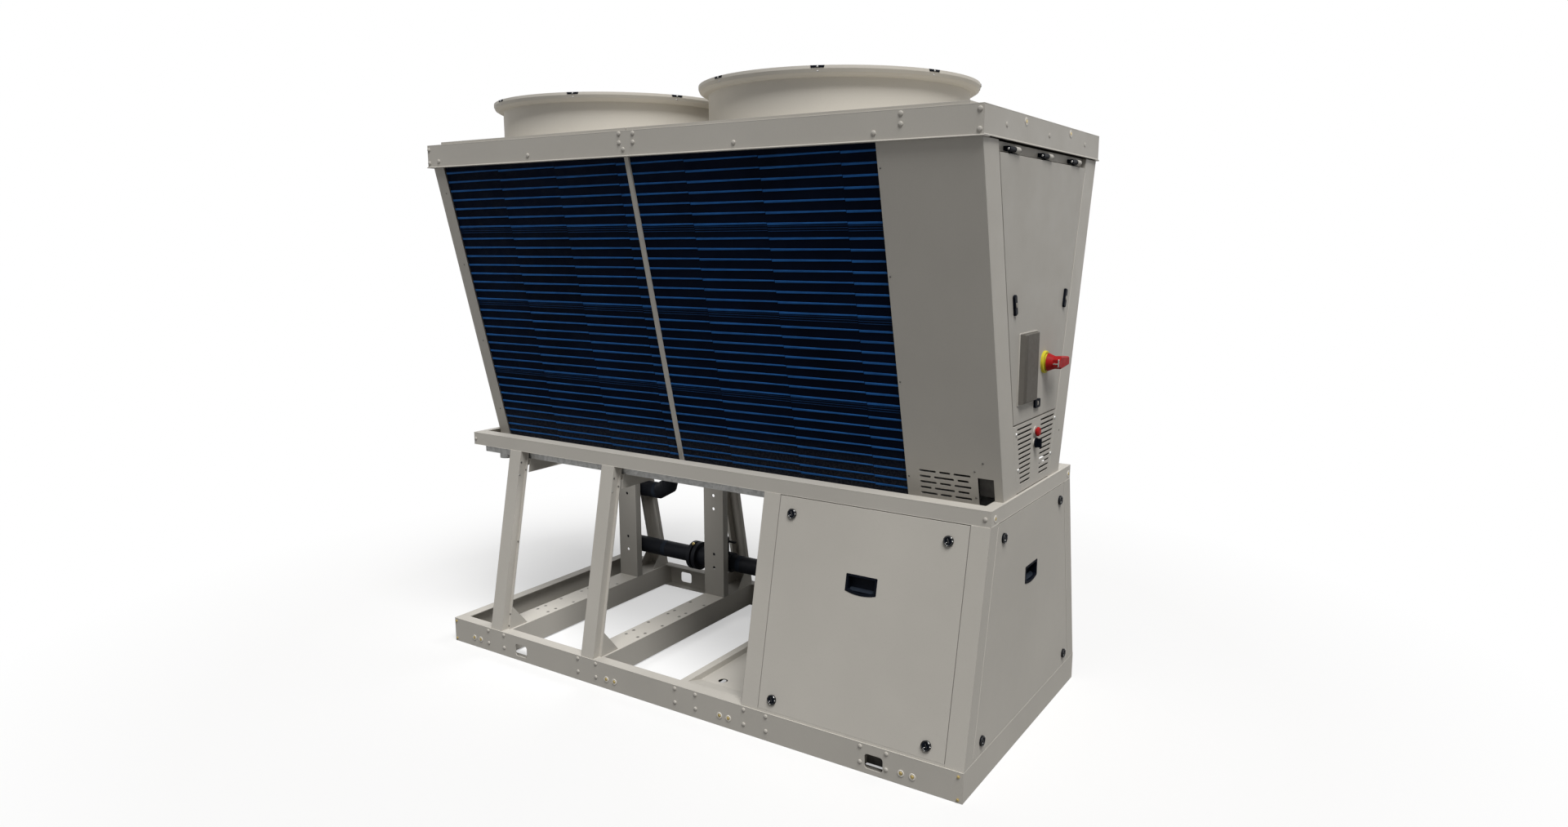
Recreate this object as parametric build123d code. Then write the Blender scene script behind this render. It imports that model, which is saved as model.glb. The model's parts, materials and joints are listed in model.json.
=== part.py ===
from build123d import *
import math
import os

os.makedirs("parts", exist_ok=True)

# Air source heat pump: a steel base frame, a compressor box on its right half, open legs
# on its left half, and a V of finned coils above with two fans on top and an electrical
# cabinet at the right end. All sizes are in millimetres, +Z is up and the floor is z = 0.
# X runs along the unit from its middle, and the cabinet door faces +X. The front faces -Y.

# Overall sizes
length = 2400.0
base_width = 1110.0
base_height = 105.0
mid_width = 793.0
mid_bottom = 858.5
mid_height = 54.0
mid_flange = 55.5
mid_flange_left = 26.0
mid_flange_right = 40.0
mid_end_foot = 58.0
top_width = 1121.0
top_bottom = 2033.5
top_height = 89.5
hem_out = 5.0
end_hem_out = 2.5
hem_high = 5.0
sheet = 2.5
frame_sheet = 4.0
seat_gap = 0.3

half = length / 2
mid_top = mid_bottom + mid_height
top_top = top_bottom + top_height

# Base frame
base_flange = 45.0
slot_wide = 68.0
slot_high = 52.0
slot_z = 44.0
slot_radius = 12.0
slot_xs = (-half + 415.0, half - 316.0)
bay_xs = (-half + 263.0, -half + 792.0)
beam_width = 110.0
beam_foot = 5.0
low_beam_xs = (half - 1108.0, half - 794.0, half - 318.0)

# Drain pan under the compressor box
pan_left = half - 1165.0
pan_right = half - base_flange
pan_rim_side = 31.0
pan_slope = 85.0
pan_depth = 23.0
pan_drain_radius = 18.0
pan_drain_at = (pan_left + 109.0, -387.0)

# Legs, which lean in from the base to the middle frame
lean_inset = 4.0
leg_face = 66.0
leg_wide = 90.0
leg_depth = 36.0
gusset_reach = 97.0
gusset_rise = 94.0
gusset_sheet = 3.0
post_to_pipe = 20.0
rear_post_depth = 36.0
rear_post_hole_radius = 7.0
rear_post_hole_zs = (240.0, 305.0, 523.0, 586.0)
upper_beam_drop = 56.0

# Drip tray under the coils
tray_length = length - 60.0
tray_width = 720.0
tray_drop = 34.5
tray_sheet = 2.0
spout_radius = 30.0
spout_drop = 22.0
spout_at = (-half + 126.0, -tray_width / 2 + 34.0)

# Compressor box
box_left = half - 853.0
box_post_left = 69.0
box_post_right = 66.0
box_post_end = 70.0
seam = 2.0
panel_fold = 18.0
panel_margin = 3.0
sill_height = 7.0
handle_wide = 113.0
handle_high = 63.0
handle_deep = 26.0
handle_lip = 6.0
handle_bow = 9.0
handle_z = 603.0
handle_off_centre = 3.5
lock_radius = 17.0
lock_out = 7.0
lock_slot_wide = 6.0
lock_slot_deep = 3.0
lock_insets = (57.0, 68.0)
lock_low = 49.0
lock_high = 694.0

# V-shaped coil section
v_bottom_half = 275.0
v_top_half = 548.0
v_left = -half + 28.0
v_right = half - 8.0
coil_left = v_left + 58.0
coil_right = v_right - 340.0
divider_wide = 19.0
divider_x = (coil_left + coil_right) / 2 - 4.5
coil_thick = 45.0
coil_recess = 8.0
post_depth = 56.0

# Electrical cabinet
door_margin = 119.0
door_gap = 5.0
door_fold = 20.0
door_bottom = 1154.0
door_top = 2000.0
vent_bottom = 916.0
vent_fold = 12.0
rail_recess = 15.5
hinge_rail_bottom = 2005.0
stop_rail_height = 26.0
louvre_rows = 5
louvre_pitch = 20.0
louvre_first_z = 908.4
louvre_high = 7.0
louvre_left = coil_right + 50.0
louvre_short = 39.5
louvre_long = 59.5
louvre_between = 12.0
notch_left = v_right - 83.5
notch_right = v_right - 28.5
notch_top = 987.0

# Vent panel slots and controls
vent_rows = 12
vent_first_z = 946.7
vent_pitch = 17.0
vent_slot_high = 7.0
vent_slot_inner = 45.0
vent_slot_edge = 24.0
control_y = 0.0
vent_centre_y = control_y + 11.0
button_z = 1103.0
selector_z = 1064.0
control_collar_radius = 18.0
control_bore_radius = 11.0
control_collar_out = 4.0
button_cap_radius = 16.0
button_cap_thick = 8.0
button_travel = 5.0
selector_radius = 17.0
selector_base = 5.0
selector_lever = (20.0, 9.0, 30.0)
running_gap = 0.5

# Door hinges along the top edge
hinge_ys = (-304.0, 0.0, 304.0)
hinge_axis_x = v_right + 1.0
hinge_axis_z = door_top + 13.5
knuckle_radius = 8.0
knuckle_half = 46.0
pin_radius = 3.0
pin_clearance = 0.4

# Things on the door
latch_y = 247.0
latch_z = 1544.0
latch_wide = 22.0
latch_high = 66.0
latch_out = 8.0
hood_y = -105.0
hood_z = 1332.5
hood_wide = 160.0
hood_high = 227.0
hood_out = 15.0
hood_bevel = 12.5
port_y = -4.0
port_z = 1201.5
port_wide = 48.0
port_high = 29.0
port_out = 8.0
port_hole_radius = 8.5
isolator_y = 63.5
isolator_z = 1335.0
isolator_radius = 34.0
isolator_plate_out = 14.0
isolator_plate_step = 5.0
isolator_boss_radius = 27.0
isolator_gap = 1.0
isolator_shaft_radius = 9.0
isolator_shaft_depth = 10.0
handle_hub_radius = 31.0
handle_neck = 22.0
handle_reach = 86.0
handle_out = 46.0

# Top deck and fans
deck_left = -half + 76.0
deck_right = half - 50.0
deck_seam = 6.0
deck_half = 545.0
deck_rise = 10.0
fan_inset = 545.0
fan_gap = 48.0
deck_joint_off = -11.5
shroud_radius = 471.0
shroud_sheet = 3.0
lip_radius = 507.0
shroud_top = 2287.0
lip_band = 10.0
flare_rise = 21.0
flare_steps = 3
guard_drop = 4.0
guard_bar = 4.0
guard_arms = 6
guard_hub_radius = 95.0
motor_radius = 80.0
motor_drop = 18.0
rotor_hub_radius = 112.0
rotor_hub_height = 78.0
rotor_gap = 6.0
motor_shaft_radius = 19.0
blade_count = 5
tip_clearance = 12.0
blade_thick = 6.0
blade_tip = shroud_radius - shroud_sheet - tip_clearance
blade_stations = 5
blade_root = 0.20
blade_root_chord = 0.33
blade_tip_chord = 0.55
blade_root_pitch = 38.0
blade_tip_pitch = 18.0
blade_sweep = 30.0
blade_camber = 0.08

# Insulated pipes behind the legs
pipe_radius = 39.0
pipe_y = base_width / 2 - 169.0
pipe_low_z = 246.0
pipe_high_z = 535.0
return_x = -half + 178.0
return_bend = 78.0
bend_cuts = 3
riser_x = -half + 510.0
riser_bend = 160.0
riser_lean = 25.0
coupling_x = -half + 600.0
coupling_wide = 49.0
coupling_radius = 1.72 * pipe_radius
coupling_groove = 10.0
valve_body_end = coupling_x + 232.0
valve_body_radius = 1.2 * pipe_radius
valve_stem_radius = 13.0
valve_stem_x = valve_body_end - 37.0
valve_stem_top = pipe_low_z + 118.0
valve_lever_reach = 52.0
valve_lever_z = valve_stem_top - 15.0
valve_lever_thick = 7.0

# Worked out from the sizes above
reach_past_end = v_right + isolator_plate_out + isolator_gap + handle_out - half
origin_x = -reach_past_end / 2
fan_pitch = 2 * lip_radius + fan_gap
fan_xs = (-half + fan_inset, -half + fan_inset + fan_pitch)
deck_joint_x = (fan_xs[0] + fan_xs[1]) / 2 + deck_joint_off
rear_post_y = pipe_y - pipe_radius - post_to_pipe - rear_post_depth
lean_bottom = base_width / 2 - lean_inset
lean_top = mid_width / 2 + 1.5
lean_per_mm = (lean_bottom - lean_top) / (mid_bottom - base_height)
lean_angle = math.degrees(math.atan(lean_per_mm))
spread_per_mm = (v_top_half - v_bottom_half) / (top_bottom - mid_top)
spread_angle = math.degrees(math.atan(spread_per_mm))
tray_bottom = mid_bottom - tray_drop
upper_beam_bottom = tray_bottom - upper_beam_drop
pan_floor = base_height - pan_depth
panel_low = base_height + sill_height + seat_gap
v_floor = mid_bottom + sheet
v_floor_half = v_bottom_half - spread_per_mm * (mid_top - v_floor)


def block(x0, x1, y0, y1, z0, z1):
    centre = Pos((x0 + x1) / 2, (y0 + y1) / 2, (z0 + z1) / 2)
    return centre * Box(x1 - x0, y1 - y0, z1 - z0)


def slab_x(points, x0, x1):
    """A flat plate across X whose outline is given as (y, z) points."""
    outline = make_face(Polyline(*points, close=True))
    return Pos(x0, 0, 0) * extrude(Plane.YZ * outline, x1 - x0)


def sheared(points, z0, z1, y_per_mm):
    """An upright bar whose outline is (x, y) points at z0, leaning in Y as it rises."""
    outline = Pos(0, 0, z0) * make_face(Polyline(*points, close=True))
    rise = z1 - z0
    run = y_per_mm * rise
    return extrude(outline, math.hypot(rise, run), dir=(0, run, rise))


def rectangle(x0, x1, y0, y1):
    return [(x0, y0), (x1, y0), (x1, y1), (x0, y1)]


def behind(part):
    """The same piece on the rear side of the unit."""
    return mirror(part, Plane.XZ)


def lean_y(z):
    """Distance of the leaning lower faces from the middle plane at height z."""
    return lean_bottom - lean_per_mm * (z - base_height)


def spread_y(z):
    """Distance of the V section's outer faces from the middle plane at height z."""
    return v_bottom_half + spread_per_mm * (z - mid_top)


def on_lower_front(x, z):
    """A plane on the leaning front face, its z pointing out and its y up the slope."""
    slope = math.radians(lean_angle)
    outward = (0, -math.cos(slope), math.sin(slope))
    return Plane(origin=(x, -lean_y(z), z), x_dir=(1, 0, 0), z_dir=outward)


def on_end(x, y, z):
    """A plane facing +X, its x along +Y and its y up."""
    return Plane(origin=(x, y, z), x_dir=(0, 1, 0), z_dir=(1, 0, 0))


def cylinder_between(start, axis, radius, reach):
    plane = Plane(origin=start, z_dir=axis)
    return extrude(plane * Circle(radius), reach)


def save(name, *pieces):
    """Writes one node, moved so that the origin is the middle of the overall length."""
    placed = [Pos(origin_x, 0, 0) * piece for piece in pieces]
    solids = [solid for piece in placed for solid in piece.solids()]
    whole = solids[0] if len(solids) == 1 else Compound(children=solids)
    export_step(whole, f"parts/{name}.step")


# Base frame
def base_rail():
    outer = -base_width / 2
    web = block(-half, half, outer, outer + frame_sheet, 0, base_height)
    lower = block(-half, half, outer, outer + base_flange, 0, frame_sheet)
    upper = block(-half, half, outer, outer + base_flange, base_height - frame_sheet, base_height)
    rail = web + lower + upper
    for x in slot_xs:
        slot = Plane.XZ * RectangleRounded(slot_wide, slot_high, slot_radius)
        cut = Pos(x, outer + 2 * frame_sheet, slot_z) * extrude(slot, 3 * frame_sheet)
        rail -= cut
    return rail


def base_end(side):
    """The end rail between the two long rails; side is -1 for the left end."""
    inner_y = base_width / 2 - frame_sheet
    open_y = base_width / 2 - base_flange
    faces = sorted((side * half, side * (half - frame_sheet)))
    flanges = sorted((side * half, side * (half - base_flange)))
    web = block(*faces, -inner_y, inner_y, frame_sheet, base_height - frame_sheet)
    top = block(*flanges, -open_y, open_y, base_height - frame_sheet, base_height)
    foot = block(*flanges, -open_y, open_y, 0, frame_sheet)
    return web + top + foot


def cross_beam(x, top):
    """A pressed beam, open underneath, notched at its ends round the rail flanges."""
    wall = frame_sheet
    end_y = base_width / 2 - frame_sheet
    open_y = base_width / 2 - base_flange
    left, right = x - beam_width / 2, x + beam_width / 2
    under_flange = min(top, base_height - frame_sheet)
    beam = block(left, right, -open_y, open_y, beam_foot, top)
    beam += block(left, right, -end_y, end_y, beam_foot, under_flange)
    hollow = block(left + wall, right - wall, -end_y, end_y, beam_foot, top - wall)
    return beam - hollow


def drain_pan():
    """A shallow tray between the long rails, its front and rear sides sloping to the floor."""
    rim_y = base_width / 2 - base_flange
    foot_y = rim_y - pan_slope
    hollow_y = foot_y + pan_depth * pan_slope / (pan_depth + tray_sheet)
    rim_left = pan_left + pan_rim_side
    rim_right = pan_right - pan_rim_side
    under = pan_floor - tray_sheet
    pan = block(pan_left, pan_right, -rim_y, rim_y, base_height - tray_sheet, base_height)
    body = [(-rim_y, base_height), (-foot_y, under), (foot_y, under), (rim_y, base_height)]
    hollow = [(-hollow_y, base_height), (-foot_y, pan_floor), (foot_y, pan_floor),
              (hollow_y, base_height)]
    pan += slab_x(body, rim_left - tray_sheet, rim_right + tray_sheet)
    pan -= slab_x(hollow, rim_left, rim_right)
    drain = Pos(*pan_drain_at, pan_floor) * Cylinder(pan_drain_radius, 4 * tray_sheet)
    return pan - drain


low_beam_top = pan_floor - tray_sheet
beams = [cross_beam(x, base_height) for x in bay_xs]
low_beams = [cross_beam(x, low_beam_top) for x in low_beam_xs]
drain_way = Pos(*pan_drain_at, low_beam_top) * Cylinder(pan_drain_radius + 4, 4 * frame_sheet)
low_beams[0] -= drain_way
save("base_rail_front", base_rail())
save("base_rail_rear", behind(base_rail()))
save("base_ends", base_end(-1), base_end(1))
save("base_cross_beams", *beams, *low_beams)
save("drain_pan", drain_pan())


# Legs, posts and upper beams
def front_leg(x):
    """A top-hat section, its crown outward, leaning in towards the middle frame."""
    face, wide = leg_face / 2, leg_wide / 2
    front = -lean_bottom
    back = front + leg_depth
    crown = [(x - face, front), (x + face, front), (x + face, back - sheet), (x + wide, back - sheet),
             (x + wide, back), (x + face - sheet, back), (x + face - sheet, front + sheet),
             (x - face + sheet, front + sheet), (x - face + sheet, back), (x - wide, back),
             (x - wide, back - sheet), (x - face, back - sheet)]
    return sheared(crown, base_height, mid_bottom, lean_per_mm)


def gussets(x):
    """The two upright plates that tie the foot of a leg to its beam."""
    back = -lean_y(base_height) + leg_depth
    plates = []
    for side in (-1, 1):
        outer = x + side * leg_wide / 2
        faces = sorted((outer, outer - side * gusset_sheet))
        top = base_height + gusset_rise
        top_back = -lean_y(top) + leg_depth
        outline = [(back, base_height), (back + gusset_reach, base_height), (top_back, top)]
        plates.append(slab_x(outline, *faces))
    return plates


def rear_post(x):
    left, right = x - beam_width / 2, x + beam_width / 2
    front, back = rear_post_y, rear_post_y + rear_post_depth
    shape = [(left, front), (right, front), (right, back), (right - sheet, back),
             (right - sheet, front + sheet), (left + sheet, front + sheet), (left + sheet, back),
             (left, back)]
    post = sheared(shape, base_height, upper_beam_bottom, 0)
    for z in rear_post_hole_zs:
        post -= cylinder_between((x, front, z), (0, 1, 0), rear_post_hole_radius, 2 * sheet)
    return post


def upper_beam(x):
    left, right = x - beam_width / 2, x + beam_width / 2
    low = lean_y(upper_beam_bottom) - leg_depth - seat_gap
    high = lean_y(tray_bottom) - leg_depth - seat_gap
    outline = [(-low, upper_beam_bottom), (low, upper_beam_bottom), (high, tray_bottom),
               (-high, tray_bottom)]
    beam = slab_x(outline, left, right)
    inside = block(left + sheet, right - sheet, -low, low, upper_beam_bottom, tray_bottom - sheet)
    return beam - inside


legs = [front_leg(x) for x in bay_xs]
foot_plates = [plate for x in bay_xs for plate in gussets(x)]
save("front_legs", *legs)
save("rear_legs", *[behind(leg) for leg in legs])
save("leg_gussets", *foot_plates, *[behind(plate) for plate in foot_plates])
save("rear_posts", *[rear_post(x) for x in bay_xs])
save("upper_cross_beams", *[upper_beam(x) for x in bay_xs])


# Middle frame and drip tray
def mid_rail():
    """A channel with a narrow top flange and a wide foot that the V section stands on."""
    outer = -mid_width / 2
    shelf = -v_floor_half + post_depth
    rail = block(-half, half, outer, outer + sheet, mid_bottom, mid_top)
    rail += block(-half, half, outer, outer + mid_flange, mid_top - sheet, mid_top)
    rail += block(-half, half, outer, shelf, mid_bottom, v_floor)
    return rail


def mid_end(side, flange):
    web_y = mid_width / 2 - sheet
    flange_y = mid_width / 2 - mid_flange
    foot_y = v_floor_half - post_depth
    web = sorted((side * half, side * (half - sheet)))
    top = sorted((side * half, side * (half - flange)))
    foot = sorted((side * half, side * (half - mid_end_foot)))
    end = block(*web, -web_y, web_y, v_floor, mid_top - sheet)
    end += block(*top, -flange_y, flange_y, mid_top - sheet, mid_top)
    end += block(*foot, -foot_y, foot_y, mid_bottom, v_floor)
    return end


def drip_tray(riser_hole):
    half_long, half_wide = tray_length / 2, tray_width / 2
    tray = block(-half_long, half_long, -half_wide, half_wide, tray_bottom, mid_bottom)
    tray -= block(-half_long + tray_sheet, half_long - tray_sheet, -half_wide + tray_sheet,
                  half_wide - tray_sheet, tray_bottom + tray_sheet, mid_bottom)
    x, y = spout_at
    spout = cylinder_between((x, y, tray_bottom - spout_drop), (0, 0, 1), spout_radius, spout_drop)
    bore = cylinder_between((x, y, tray_bottom - spout_drop), (0, 0, 1),
                            spout_radius - tray_sheet, spout_drop + 2 * tray_sheet)
    return tray + spout - bore - riser_hole


# Insulated pipes: a straight run, a return bend behind the left post and a leaning riser
def bend(centre, start_dir, end_dir, radius):
    """The corners of a quarter bend, whose foam is mitred from straight lengths."""
    turn = math.pi / 2 / bend_cuts
    corners = []
    for cut in range(bend_cuts):
        angle = (cut + 0.5) * turn
        along = Vector(*start_dir) * math.sin(angle) - Vector(*end_dir) * math.cos(angle)
        corners.append(Vector(*centre) + along * (radius / math.cos(turn / 2)))
    return corners


def pipe_through(points):
    """Insulated pipe along straight lengths that meet at mitred corners."""
    path = Polyline(*points)
    section = Plane(origin=points[0], z_dir=path % 0) * Circle(pipe_radius)
    return sweep(section, path=path, transition=Transition.RIGHT)


def lower_pipe():
    start = return_x + return_bend
    return cylinder_between((start, pipe_y, pipe_low_z), (1, 0, 0), pipe_radius,
                            box_left - seat_gap - start)


def return_pipe():
    start = return_x + return_bend
    low = bend((start, pipe_y, pipe_low_z + return_bend), (-1, 0, 0), (0, 0, 1), return_bend)
    high = bend((start, pipe_y, pipe_high_z - return_bend), (0, 0, 1), (1, 0, 0), return_bend)
    ends = (Vector(start, pipe_y, pipe_low_z), Vector(start, pipe_y, pipe_high_z))
    return pipe_through([ends[0], *low, *high, ends[1]])


def upper_pipe():
    lean = math.radians(riser_lean)
    up = (0, -math.sin(lean), math.cos(lean))
    start = Vector(return_x + return_bend, pipe_y, pipe_high_z)
    centre = Vector(riser_x - riser_bend, pipe_y, pipe_high_z) + Vector(*up) * riser_bend
    top = centre + Vector(riser_bend, 0, 0) + Vector(*up) * (2 * (tray_bottom - pipe_high_z))
    riser = pipe_through([start, *bend(centre, (1, 0, 0), up, riser_bend), top])
    return riser - block(-half, half, -half, half, tray_bottom - seat_gap, top_bottom)


def riser_opening():
    lean = math.radians(riser_lean)
    foot_y = pipe_y - riser_bend * math.sin(lean)
    foot_z = pipe_high_z + riser_bend * math.cos(lean)
    y = foot_y - (tray_bottom - foot_z) * math.tan(lean)
    return cylinder_between((riser_x, y, tray_bottom - 1), (0, 0, 1), pipe_radius - 8, 4)


def shutoff_valve():
    """A grooved coupling, then the valve's body round the pipe, its stem and its lever."""
    start = (coupling_x, pipe_y, pipe_low_z)
    body_long = valve_body_end - coupling_x
    valve = cylinder_between(start, (1, 0, 0), valve_body_radius, body_long)
    ring = (coupling_wide - coupling_groove) / 2
    for x in (coupling_x, coupling_x + ring + coupling_groove):
        valve += cylinder_between((x, pipe_y, pipe_low_z), (1, 0, 0), coupling_radius, ring)
    valve += cylinder_between((valve_stem_x, pipe_y, pipe_low_z), (0, 0, 1), valve_stem_radius,
                              valve_stem_top - pipe_low_z)
    valve += block(valve_stem_x, valve_stem_x + valve_lever_reach, pipe_y - valve_stem_radius / 2,
                   pipe_y + valve_stem_radius / 2, valve_lever_z - valve_lever_thick, valve_lever_z)
    return valve - cylinder_between(start, (1, 0, 0), pipe_radius + seat_gap, body_long)


save("mid_frame_rails", mid_rail(), behind(mid_rail()), mid_end(-1, mid_flange_left),
     mid_end(1, mid_flange_right))
save("drip_tray", drip_tray(riser_opening()))
save("pipe_lower", lower_pipe())
save("pipe_return_bend", return_pipe())
save("pipe_upper", upper_pipe())
save("shutoff_valve", shutoff_valve())


# Compressor box: corner posts, folded access panels, recessed handles and locks
def box_post(x_outer, face, side_deep):
    """An angle that leans with the box; face runs along X from the outer edge."""
    direction = 1 if face > 0 else -1
    front = -lean_bottom
    inner = x_outer + direction * sheet
    corner = [(x_outer, front), (x_outer + face, front), (x_outer + face, front + sheet),
              (inner, front + sheet), (inner, front + side_deep), (x_outer, front + side_deep)]
    return sheared(corner, base_height, mid_bottom, lean_per_mm)


def handle_outline(inset):
    """A rounded rectangle whose lower edge is bowed."""
    across, up = handle_wide / 2 - inset, handle_high / 2 - inset
    shoulder = -up + handle_bow
    return make_face([Line((-across, up), (across, up)), Line((across, up), (across, shoulder)),
                      ThreePointArc((across, shoulder), (0, -up), (-across, shoulder)),
                      Line((-across, shoulder), (-across, up))])


def recessed_handle(plane):
    """A cup seated in a panel from outside, open in front."""
    at_back = plane * Pos(0, 0, seat_gap - handle_deep)
    cup = extrude(at_back * handle_outline(seat_gap), handle_deep)
    at_floor = plane * Pos(0, 0, tray_sheet - handle_deep)
    return cup - extrude(at_floor * handle_outline(handle_lip), handle_deep)


def handle_hole(plane):
    return extrude(plane * handle_outline(0), handle_deep, both=True)


def front_sill():
    """The strip between the front posts that the access panel stands on."""
    ends = (box_left + box_post_left + seat_gap, half - box_post_right - seat_gap)
    front = -lean_bottom
    return sheared(rectangle(*ends, front, front + panel_fold), base_height,
                   base_height + sill_height, lean_per_mm)


def end_sill():
    low, high = base_height, base_height + sill_height
    wide, narrow = (lean_y(z) - box_post_end - seat_gap for z in (low, high))
    outline = [(-wide, low), (wide, low), (narrow, high), (-narrow, high)]
    return slab_x(outline, half - panel_fold, half)


def side_panel():
    """The folded sheet door of the box's front."""
    left = box_left + box_post_left + seam
    right = half - box_post_right - seam
    low, high = panel_low, mid_bottom - panel_margin
    shift = lean_per_mm * (low - base_height)
    front = -lean_bottom + shift
    panel = sheared(rectangle(left, right, front, front + panel_fold), low, high, lean_per_mm)
    inside = sheared(rectangle(left + sheet, right - sheet, front + sheet, front + panel_fold),
                     low + sheet, high - sheet, lean_per_mm)
    return panel - inside - handle_hole(on_lower_front(handle_x, handle_z))


def end_panel_outline(inset):
    low, high = panel_low + inset, mid_bottom - panel_margin - inset
    wide = lean_y(low) - box_post_end - seam - inset
    narrow = lean_y(high) - box_post_end - seam - inset
    return [(-wide, low), (wide, low), (narrow, high), (-narrow, high)]


def end_panel():
    panel = slab_x(end_panel_outline(0), half - panel_fold, half)
    panel -= slab_x(end_panel_outline(sheet), half - panel_fold, half - sheet)
    return panel - handle_hole(on_end(half, 0, handle_z))


def inner_wall():
    low, high = base_height + seat_gap, tray_bottom - seat_gap
    bottom = lean_y(low) - sheet - seat_gap
    top = lean_y(high) - sheet - seat_gap
    outline = [(-bottom, low), (bottom, low), (top, high), (-top, high)]
    return slab_x(outline, box_left + sheet + seat_gap, box_left + 2 * sheet)


def lock(plane):
    """A quarter-turn lock: a round boss with a slot for its key."""
    boss = extrude(plane * Circle(lock_radius), lock_out)
    slot = plane * Pos(0, 0, lock_out - lock_slot_deep) * Rectangle(lock_slot_wide, lock_radius)
    return boss - extrude(slot, lock_out)


left_door = box_left + box_post_left
right_door = half - box_post_right
handle_x = (left_door + right_door) / 2 - handle_off_centre
lock_xs = (left_door + lock_insets[0], right_door - lock_insets[1])
lock_zs = (base_height + lock_low, base_height + lock_high)
front_locks = [lock(on_lower_front(x, z)) for x in lock_xs for z in lock_zs]
end_locks = [lock(on_end(half, side * (lean_y(z) - box_post_end - lock_insets[0]), z))
             for side in (-1, 1) for z in lock_zs]
post_left = box_post(box_left, box_post_left, leg_depth)
post_right = box_post(half, -box_post_right, box_post_end)
front_handle = recessed_handle(on_lower_front(handle_x, handle_z))
save("box_posts", post_left, post_right, behind(post_left), behind(post_right))
save("box_sills", front_sill(), behind(front_sill()), end_sill())
save("box_inner_wall", inner_wall())
save("access_panel_front", side_panel())
save("access_panel_rear", behind(side_panel()))
save("access_panel_end", end_panel())
save("panel_handles", front_handle, behind(front_handle), recessed_handle(on_end(half, 0, handle_z)))
save("panel_locks", *front_locks, *[behind(piece) for piece in front_locks], *end_locks)


# V section: coils, posts, end panel and cabinet
def coil(x0, x1):
    front = -v_floor_half + coil_recess
    return sheared(rectangle(x0, x1, front, front + coil_thick), v_floor, top_bottom, -spread_per_mm)


def left_post():
    front = -v_floor_half
    inner = v_left + sheet
    angle = [(v_left, front), (coil_left - seat_gap, front), (coil_left - seat_gap, front + sheet),
             (inner, front + sheet), (inner, front + post_depth), (v_left, front + post_depth)]
    return sheared(angle, v_floor, top_bottom, -spread_per_mm)


def divider():
    front = -v_floor_half
    across = divider_wide / 2 - seat_gap
    shape = rectangle(divider_x - across, divider_x + across, front, front + coil_thick)
    return sheared(shape, v_floor, top_bottom, -spread_per_mm)


def left_end_panel():
    low, high = v_floor, top_bottom
    bottom = spread_y(low) - sheet - seat_gap
    top = spread_y(high) - sheet - seat_gap
    outline = [(-bottom, low), (bottom, low), (top, high), (-top, high)]
    return slab_x(outline, v_left + sheet + seat_gap, v_left + 2 * sheet + seat_gap)


def louvre_spans(row):
    """The slot lengths of one staggered row, as (left, right) pairs."""
    widths = (louvre_long, louvre_short, louvre_long)
    if row % 2:
        widths = (louvre_short, louvre_long + louvre_between, louvre_short)
    x = louvre_left
    spans = []
    for width in widths:
        spans.append((x, x + width))
        x += width + louvre_between
    return spans


def louvres():
    """A cutter for the staggered rows of round-ended slots."""
    slots = []
    for row in range(louvre_rows):
        z = louvre_first_z + row * louvre_pitch
        for x0, x1 in louvre_spans(row):
            slots.append(Pos((x0 + x1) / 2, z) * SlotOverall(x1 - x0, louvre_high))
    cutter = Pos(0, -v_bottom_half) * (Plane.XZ * (Sketch() + slots))
    return extrude(cutter, spread_y(notch_top) - v_floor_half, both=True)


def cabinet_side(louvred):
    """The sloped side sheet of the cabinet, cut up from its foot to let the cables in."""
    front = -v_floor_half
    left = coil_right + seat_gap
    plate = sheared(rectangle(left, v_right, front, front + sheet), v_floor, top_bottom,
                    -spread_per_mm)
    reach = spread_y(notch_top)
    plate -= block(notch_left, notch_right, -reach, 0, v_floor, notch_top)
    plate -= block(notch_left, v_right, -reach, 0, v_floor, mid_top)
    return plate - louvres() if louvred else plate


def stile():
    """The upright strip between the side sheet and the door, with a fold behind its edge."""
    outer = -v_bottom_half + sheet + seat_gap
    inner = -v_bottom_half + door_margin
    x1 = v_right
    x0 = v_right - sheet
    fold = v_right - door_fold
    shape = [(x1, outer), (x0, outer), (x0, inner - sheet), (fold, inner - sheet), (fold, inner),
             (x1, inner)]
    return sheared(shape, mid_top, top_bottom, -spread_per_mm)


def opening_half(z):
    return spread_y(z) - door_margin


def cabinet_plate(low, high, gap, x0, x1):
    outline = [(-(opening_half(low) - gap), low), (opening_half(low) - gap, low),
               (opening_half(high) - gap, high), (-(opening_half(high) - gap), high)]
    return slab_x(outline, x0, x1)


def partition():
    low, high = v_floor, top_bottom
    x0 = coil_right + 10
    back = sheet + seat_gap
    outline = [(-(spread_y(low) - back), low), (spread_y(low) - back, low),
               (spread_y(high) - back, high), (-(spread_y(high) - back), high)]
    return slab_x(outline, x0, x0 + sheet)


def hinge_rail():
    face = v_right - rail_recess
    return cabinet_plate(hinge_rail_bottom, top_bottom, seat_gap, face - sheet, face)


def stop_rail():
    """The rail behind the joint between the door and the vent panel."""
    middle = door_bottom - door_gap / 2
    low, high = middle - stop_rail_height, middle
    back = v_right - door_fold - door_gap
    return cabinet_plate(low, high, sheet + seat_gap - door_margin, back - sheet, back)


def vent_slots():
    """Two columns of slots that widen with the panel."""
    cuts = []
    depth = 2 * vent_fold
    for row in range(vent_rows):
        low = vent_first_z + row * vent_pitch - vent_slot_high / 2
        outer = opening_half(low) - vent_slot_edge
        for side in (-1, 1):
            ends = sorted((vent_centre_y + side * vent_slot_inner, vent_centre_y + side * outer))
            cuts.append(block(v_right - depth, half, *ends, low, low + vent_slot_high))
    return cuts


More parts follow.
